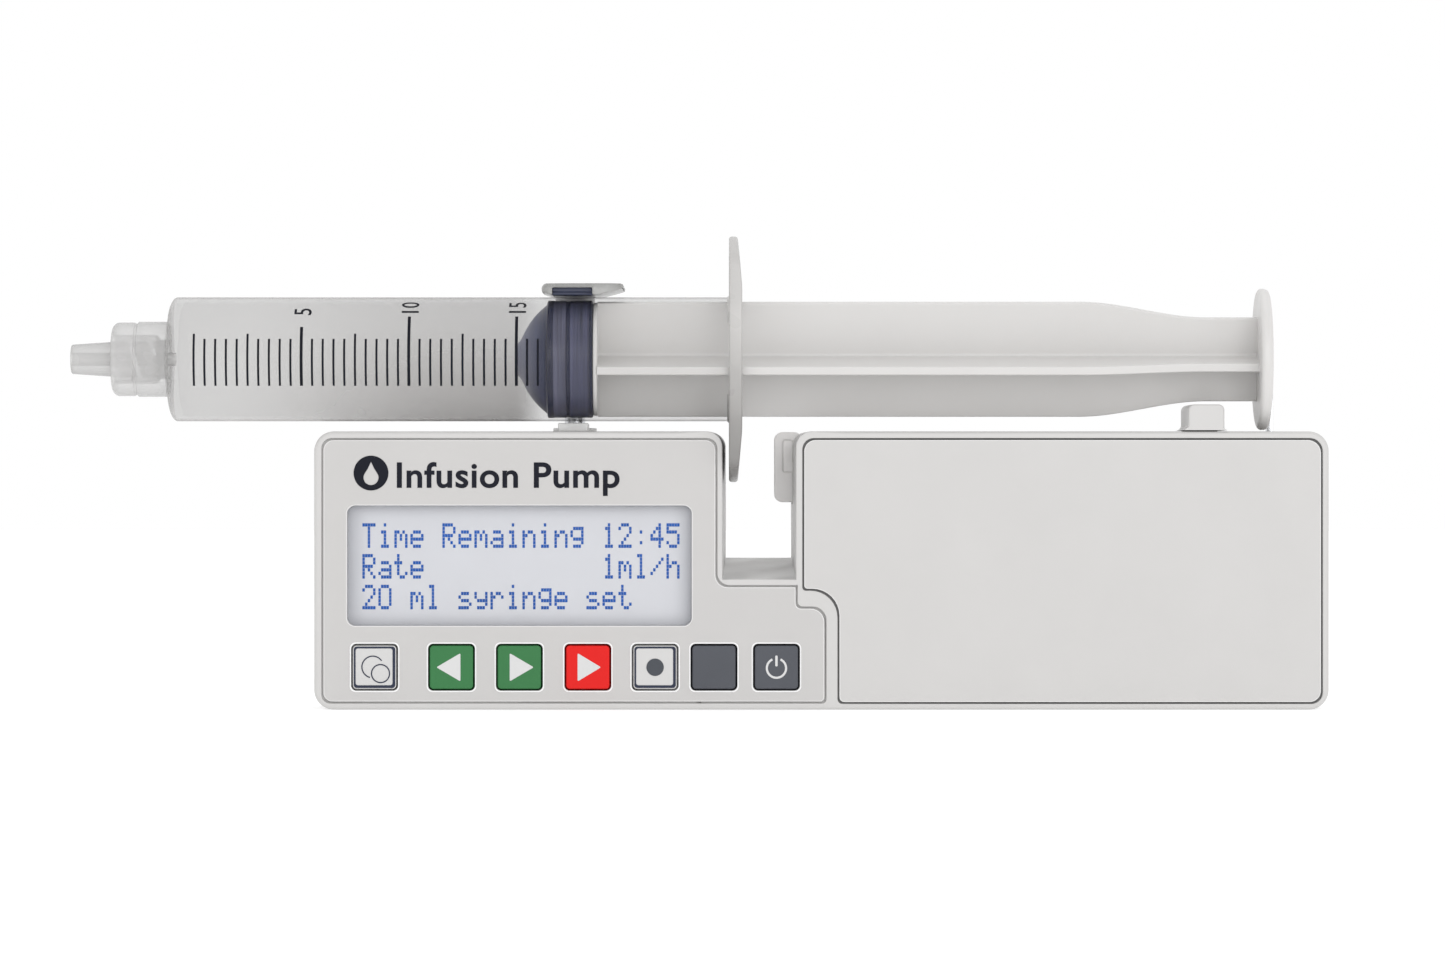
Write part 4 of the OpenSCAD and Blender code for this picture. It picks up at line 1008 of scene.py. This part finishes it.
def build_scale():
    """Half-millilitre marks up to 16 ml, long at each fifth, with numerals at 5, 10 and 15 ml."""
    zero_x, pitch = BARREL_LEFT + 4.9, 1.788
    bm = bmesh.new()
    for i in range(33):
        x = zero_x + i * pitch
        top, width = 20, 0.36
        if i % 5 == 0:
            top = 25
        if i % 10 == 0 and i:
            top, width = (32 if i == 10 else 44), 0.5
        surface_patch(bm, x - width / 2, x + width / 2, -26, top - 2, BARREL_R + 0.01)
    piece("scale_marks", bm, "syringe", "scale_ink")
    for value in (5, 10, 15):
        digits = lettering(str(value), 3.0, weight=0.02, thickness=0.04)
        base_x = zero_x + value * 2 * pitch + 1.5
        start = math.radians(47 if value > 5 else 44)
        bmesh.ops.subdivide_edges(digits, edges=[e for e in digits.edges if e.calc_length() > 0.6], cuts=3)
        for v in digits.verts:
            u, w, t = v.co
            a = start + u / BARREL_R
            r = BARREL_R + 0.03 + t
            v.co = (base_x - w, AXIS_Y - r * math.cos(a), AXIS_Z + r * math.sin(a))
        piece(f"scale_{value}", digits, "syringe", "scale_ink")


# ---------- clamp ----------

def build_clamp():
    refined("clamp_tab", "clamp_head", "smoke_clear", lambda e: 0.2, 0.2)
    arm = refined("clamp_arm", "clamp_head", "navy_plastic", lambda e: 0.15, 0.15)
    pad_top = box("clamp_pad")[1].z
    paint(arm, ["arm_plastic"], lambda face: 1 if face.center.z / MM < pad_top - 0.1 else 0)
    refined("clamp_pad", "clamp_head", "navy_rubber", lambda e: 0.12, 0.12)
    refined("clamp_post", "clamp_head", "steel", lambda e: 0.15, 0.15)
    low, high = box("clamp_spring")
    wire = 0.3
    centre = Vector(((low.x + high.x) / 2, (low.y + high.y) / 2, 0))
    radius = (high.x - low.x) / 2 - wire
    spring = coil(centre, Vector((0, 0, 1)), low.z + wire, high.z - wire, radius, wire, 8)
    piece("clamp_spring_wire", spring, "housing", "spring_steel", ("clamp_spring",))
    low, high = box("sensor_spring")
    wire = 0.2
    centre = Vector((0, (low.y + high.y) / 2, (low.z + high.z) / 2))
    radius = (high.z - low.z) / 2 - wire
    spring = coil(centre, Vector((1, 0, 0)), low.x + wire, high.x - wire, radius, wire, 4)
    piece("sensor_spring_wire", spring, "housing", "spring_steel", ("sensor_spring",))


def coil(centre, along, start, end, radius, wire, turns, per_turn=24):
    """A round spring about a line, from one place along it to another."""
    side = along.orthogonal().normalized()
    up = along.cross(side)
    points = []
    for i in range(turns * per_turn + 1):
        a = 2 * math.pi * i / per_turn
        points.append(centre + along * (start + (end - start) * i / (turns * per_turn))
                      + radius * (math.cos(a) * side + math.sin(a) * up))
    return tube(points, wire)


# ---------- drive and other inner pieces ----------

def build_screw():
    """The lead screw with its right-handed thread, drawn a little finer than its pitch of 1 mm."""
    low, high = box("lead_screw")
    y, z = (low.y + high.y) / 2, (low.z + high.z) / 2
    outer, root, journal, pitch = (high.z - low.z) / 2, (high.z - low.z) / 2 - 0.45, 1.5, 1.0
    start = box("screw_bearings")[0].x + 2.9 + 0.2
    end = high.x - 1.8
    steps = 24
    bm = bmesh.new()
    rows = []
    count = int((end - start) / pitch * steps)
    for i in range(count + 1):
        a = 2 * math.pi * i / steps
        x = start + (end - start - pitch) * i / count
        row = []
        for dx, r in [(0.0, root), (0.3, outer), (0.6, outer), (0.9, root)]:
            row.append(bm.verts.new((x + dx * pitch, y + r * math.cos(-a), z - r * math.sin(-a))))
        rows.append(row)
    loft(bm, rows)
    core = bmesh.new()
    for x0, x1, r in ((low.x, high.x, journal), (start, end, root + 0.02)):
        place = Matrix.Translation(((x0 + x1) / 2, y, z)) @ Matrix.Rotation(math.pi / 2, 4, "Y")
        bmesh.ops.create_cone(core, cap_ends=True, segments=48, radius1=r, radius2=r, depth=x1 - x0,
                              matrix=place)
    merge(bm, core)
    piece("lead_screw_thread", bm, "screw", "steel", ("lead_screw",))


INNER = {
    "case_gasket": "gasket_rubber", "case_screws": "steel", "backlight": "light_plastic",
    "display_holder": "dark_plastic", "key_mat": "key_rubber", "key_board": "circuit_board",
    "main_board": "circuit_board", "board_chips": "chip_plastic", "buzzer": "dark_plastic",
    "ribbon_cable": "cable_film", "drive_frame": "frame_metal", "guide_rods": "steel",
    "screw_bearings": "bronze", "screw_gear": "gear_plastic", "motor_gear": "gear_plastic",
    "motor_gearbox": "bronze", "drive_motor": "steel", "carriage": "carriage_plastic",
    "drive_nut": "bronze", "plunger_pusher": "steel", "battery": "battery_can",
    "battery_contacts": "bronze", "sensor_switch": "dark_plastic", "clamp_bushes": "white_bush",
    "clamp_collar": "steel",
}


def build_inner():
    """The pieces inside keep their CAD shape, with a small round on their edges."""
    for node, material in INNER.items():
        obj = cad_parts[node]
        obj.data.materials.clear()
        obj.data.materials.append(MATERIALS[material])
        weld = obj.modifiers.new("weld", "WELD")
        weld.merge_threshold = 0.001 * MM
        flat = obj.modifiers.new("flat", "DECIMATE")
        flat.decimate_type = "DISSOLVE"
        flat.angle_limit = math.radians(1)
        cut = obj.modifiers.new("bevel", "BEVEL")
        cut.width = 0.08 * MM
        cut.segments = 2
        cut.limit_method = "ANGLE"
        cut.angle_limit = math.radians(SEAM_ANGLE)
        cut.harden_normals = True
        obj.data.shade_smooth()


# ---------- stage ----------

# Each lamp's name, place in metres, size in metres and power in watts
LAMPS = (
    ("overhead", (0.1, 0.3, 1.1), 0.8, 1.0),
    ("fill", (0.35, -1.5, 0.3), 1.0, 6.5),
)


def build_stage():
    bpy.ops.mesh.primitive_plane_add(size=8)
    floor = bpy.context.object
    floor.name = "floor"
    plastic("floor", (0.6, 0.6, 0.6), 0.9, grain=3, height=0.001, spread=0.003,
            Emission_Color=(1, 1, 1, 1), Emission_Strength=0.5)
    floor.data.materials.append(MATERIALS["floor"])

    world = bpy.data.worlds.new("studio")
    world.use_nodes = True
    world.node_tree.nodes["Background"].inputs["Color"].default_value = (1, 1, 1, 1)
    world.node_tree.nodes["Background"].inputs["Strength"].default_value = 1.0
    bpy.context.scene.world = world
    for name, place, size, power in LAMPS:
        lamp = bpy.data.lights.new(name, "AREA")
        lamp.energy = power
        lamp.size = size
        holder = bpy.data.objects.new(name, lamp)
        holder.location = place
        holder.rotation_mode = "QUATERNION"
        holder.rotation_quaternion = (Vector((0, 0, 0.03)) - Vector(place)).to_track_quat("-Z", "Y")
        bpy.context.scene.collection.objects.link(holder)
    bpy.context.scene.view_settings.view_transform = "Standard"


def build_camera():
    """Level, straight on to the front, a little over a metre away."""
    lens = bpy.data.cameras.new("camera")
    lens.lens = 164.6
    lens.sensor_width = 36
    lens.clip_start = 0.01
    camera = bpy.data.objects.new("camera", lens)
    camera.location = (-0.01648, -1.1115, 0.038)
    camera.rotation_euler = (math.pi / 2, 0, 0)
    bpy.context.scene.collection.objects.link(camera)
    bpy.context.scene.camera = camera


build_materials()
build_housing()
build_display()
build_header()
build_keys()
build_barrel()
build_collar()
build_plunger()
build_stopper()
build_scale()
build_clamp()
build_screw()
build_inner()
build_stage()
build_camera()
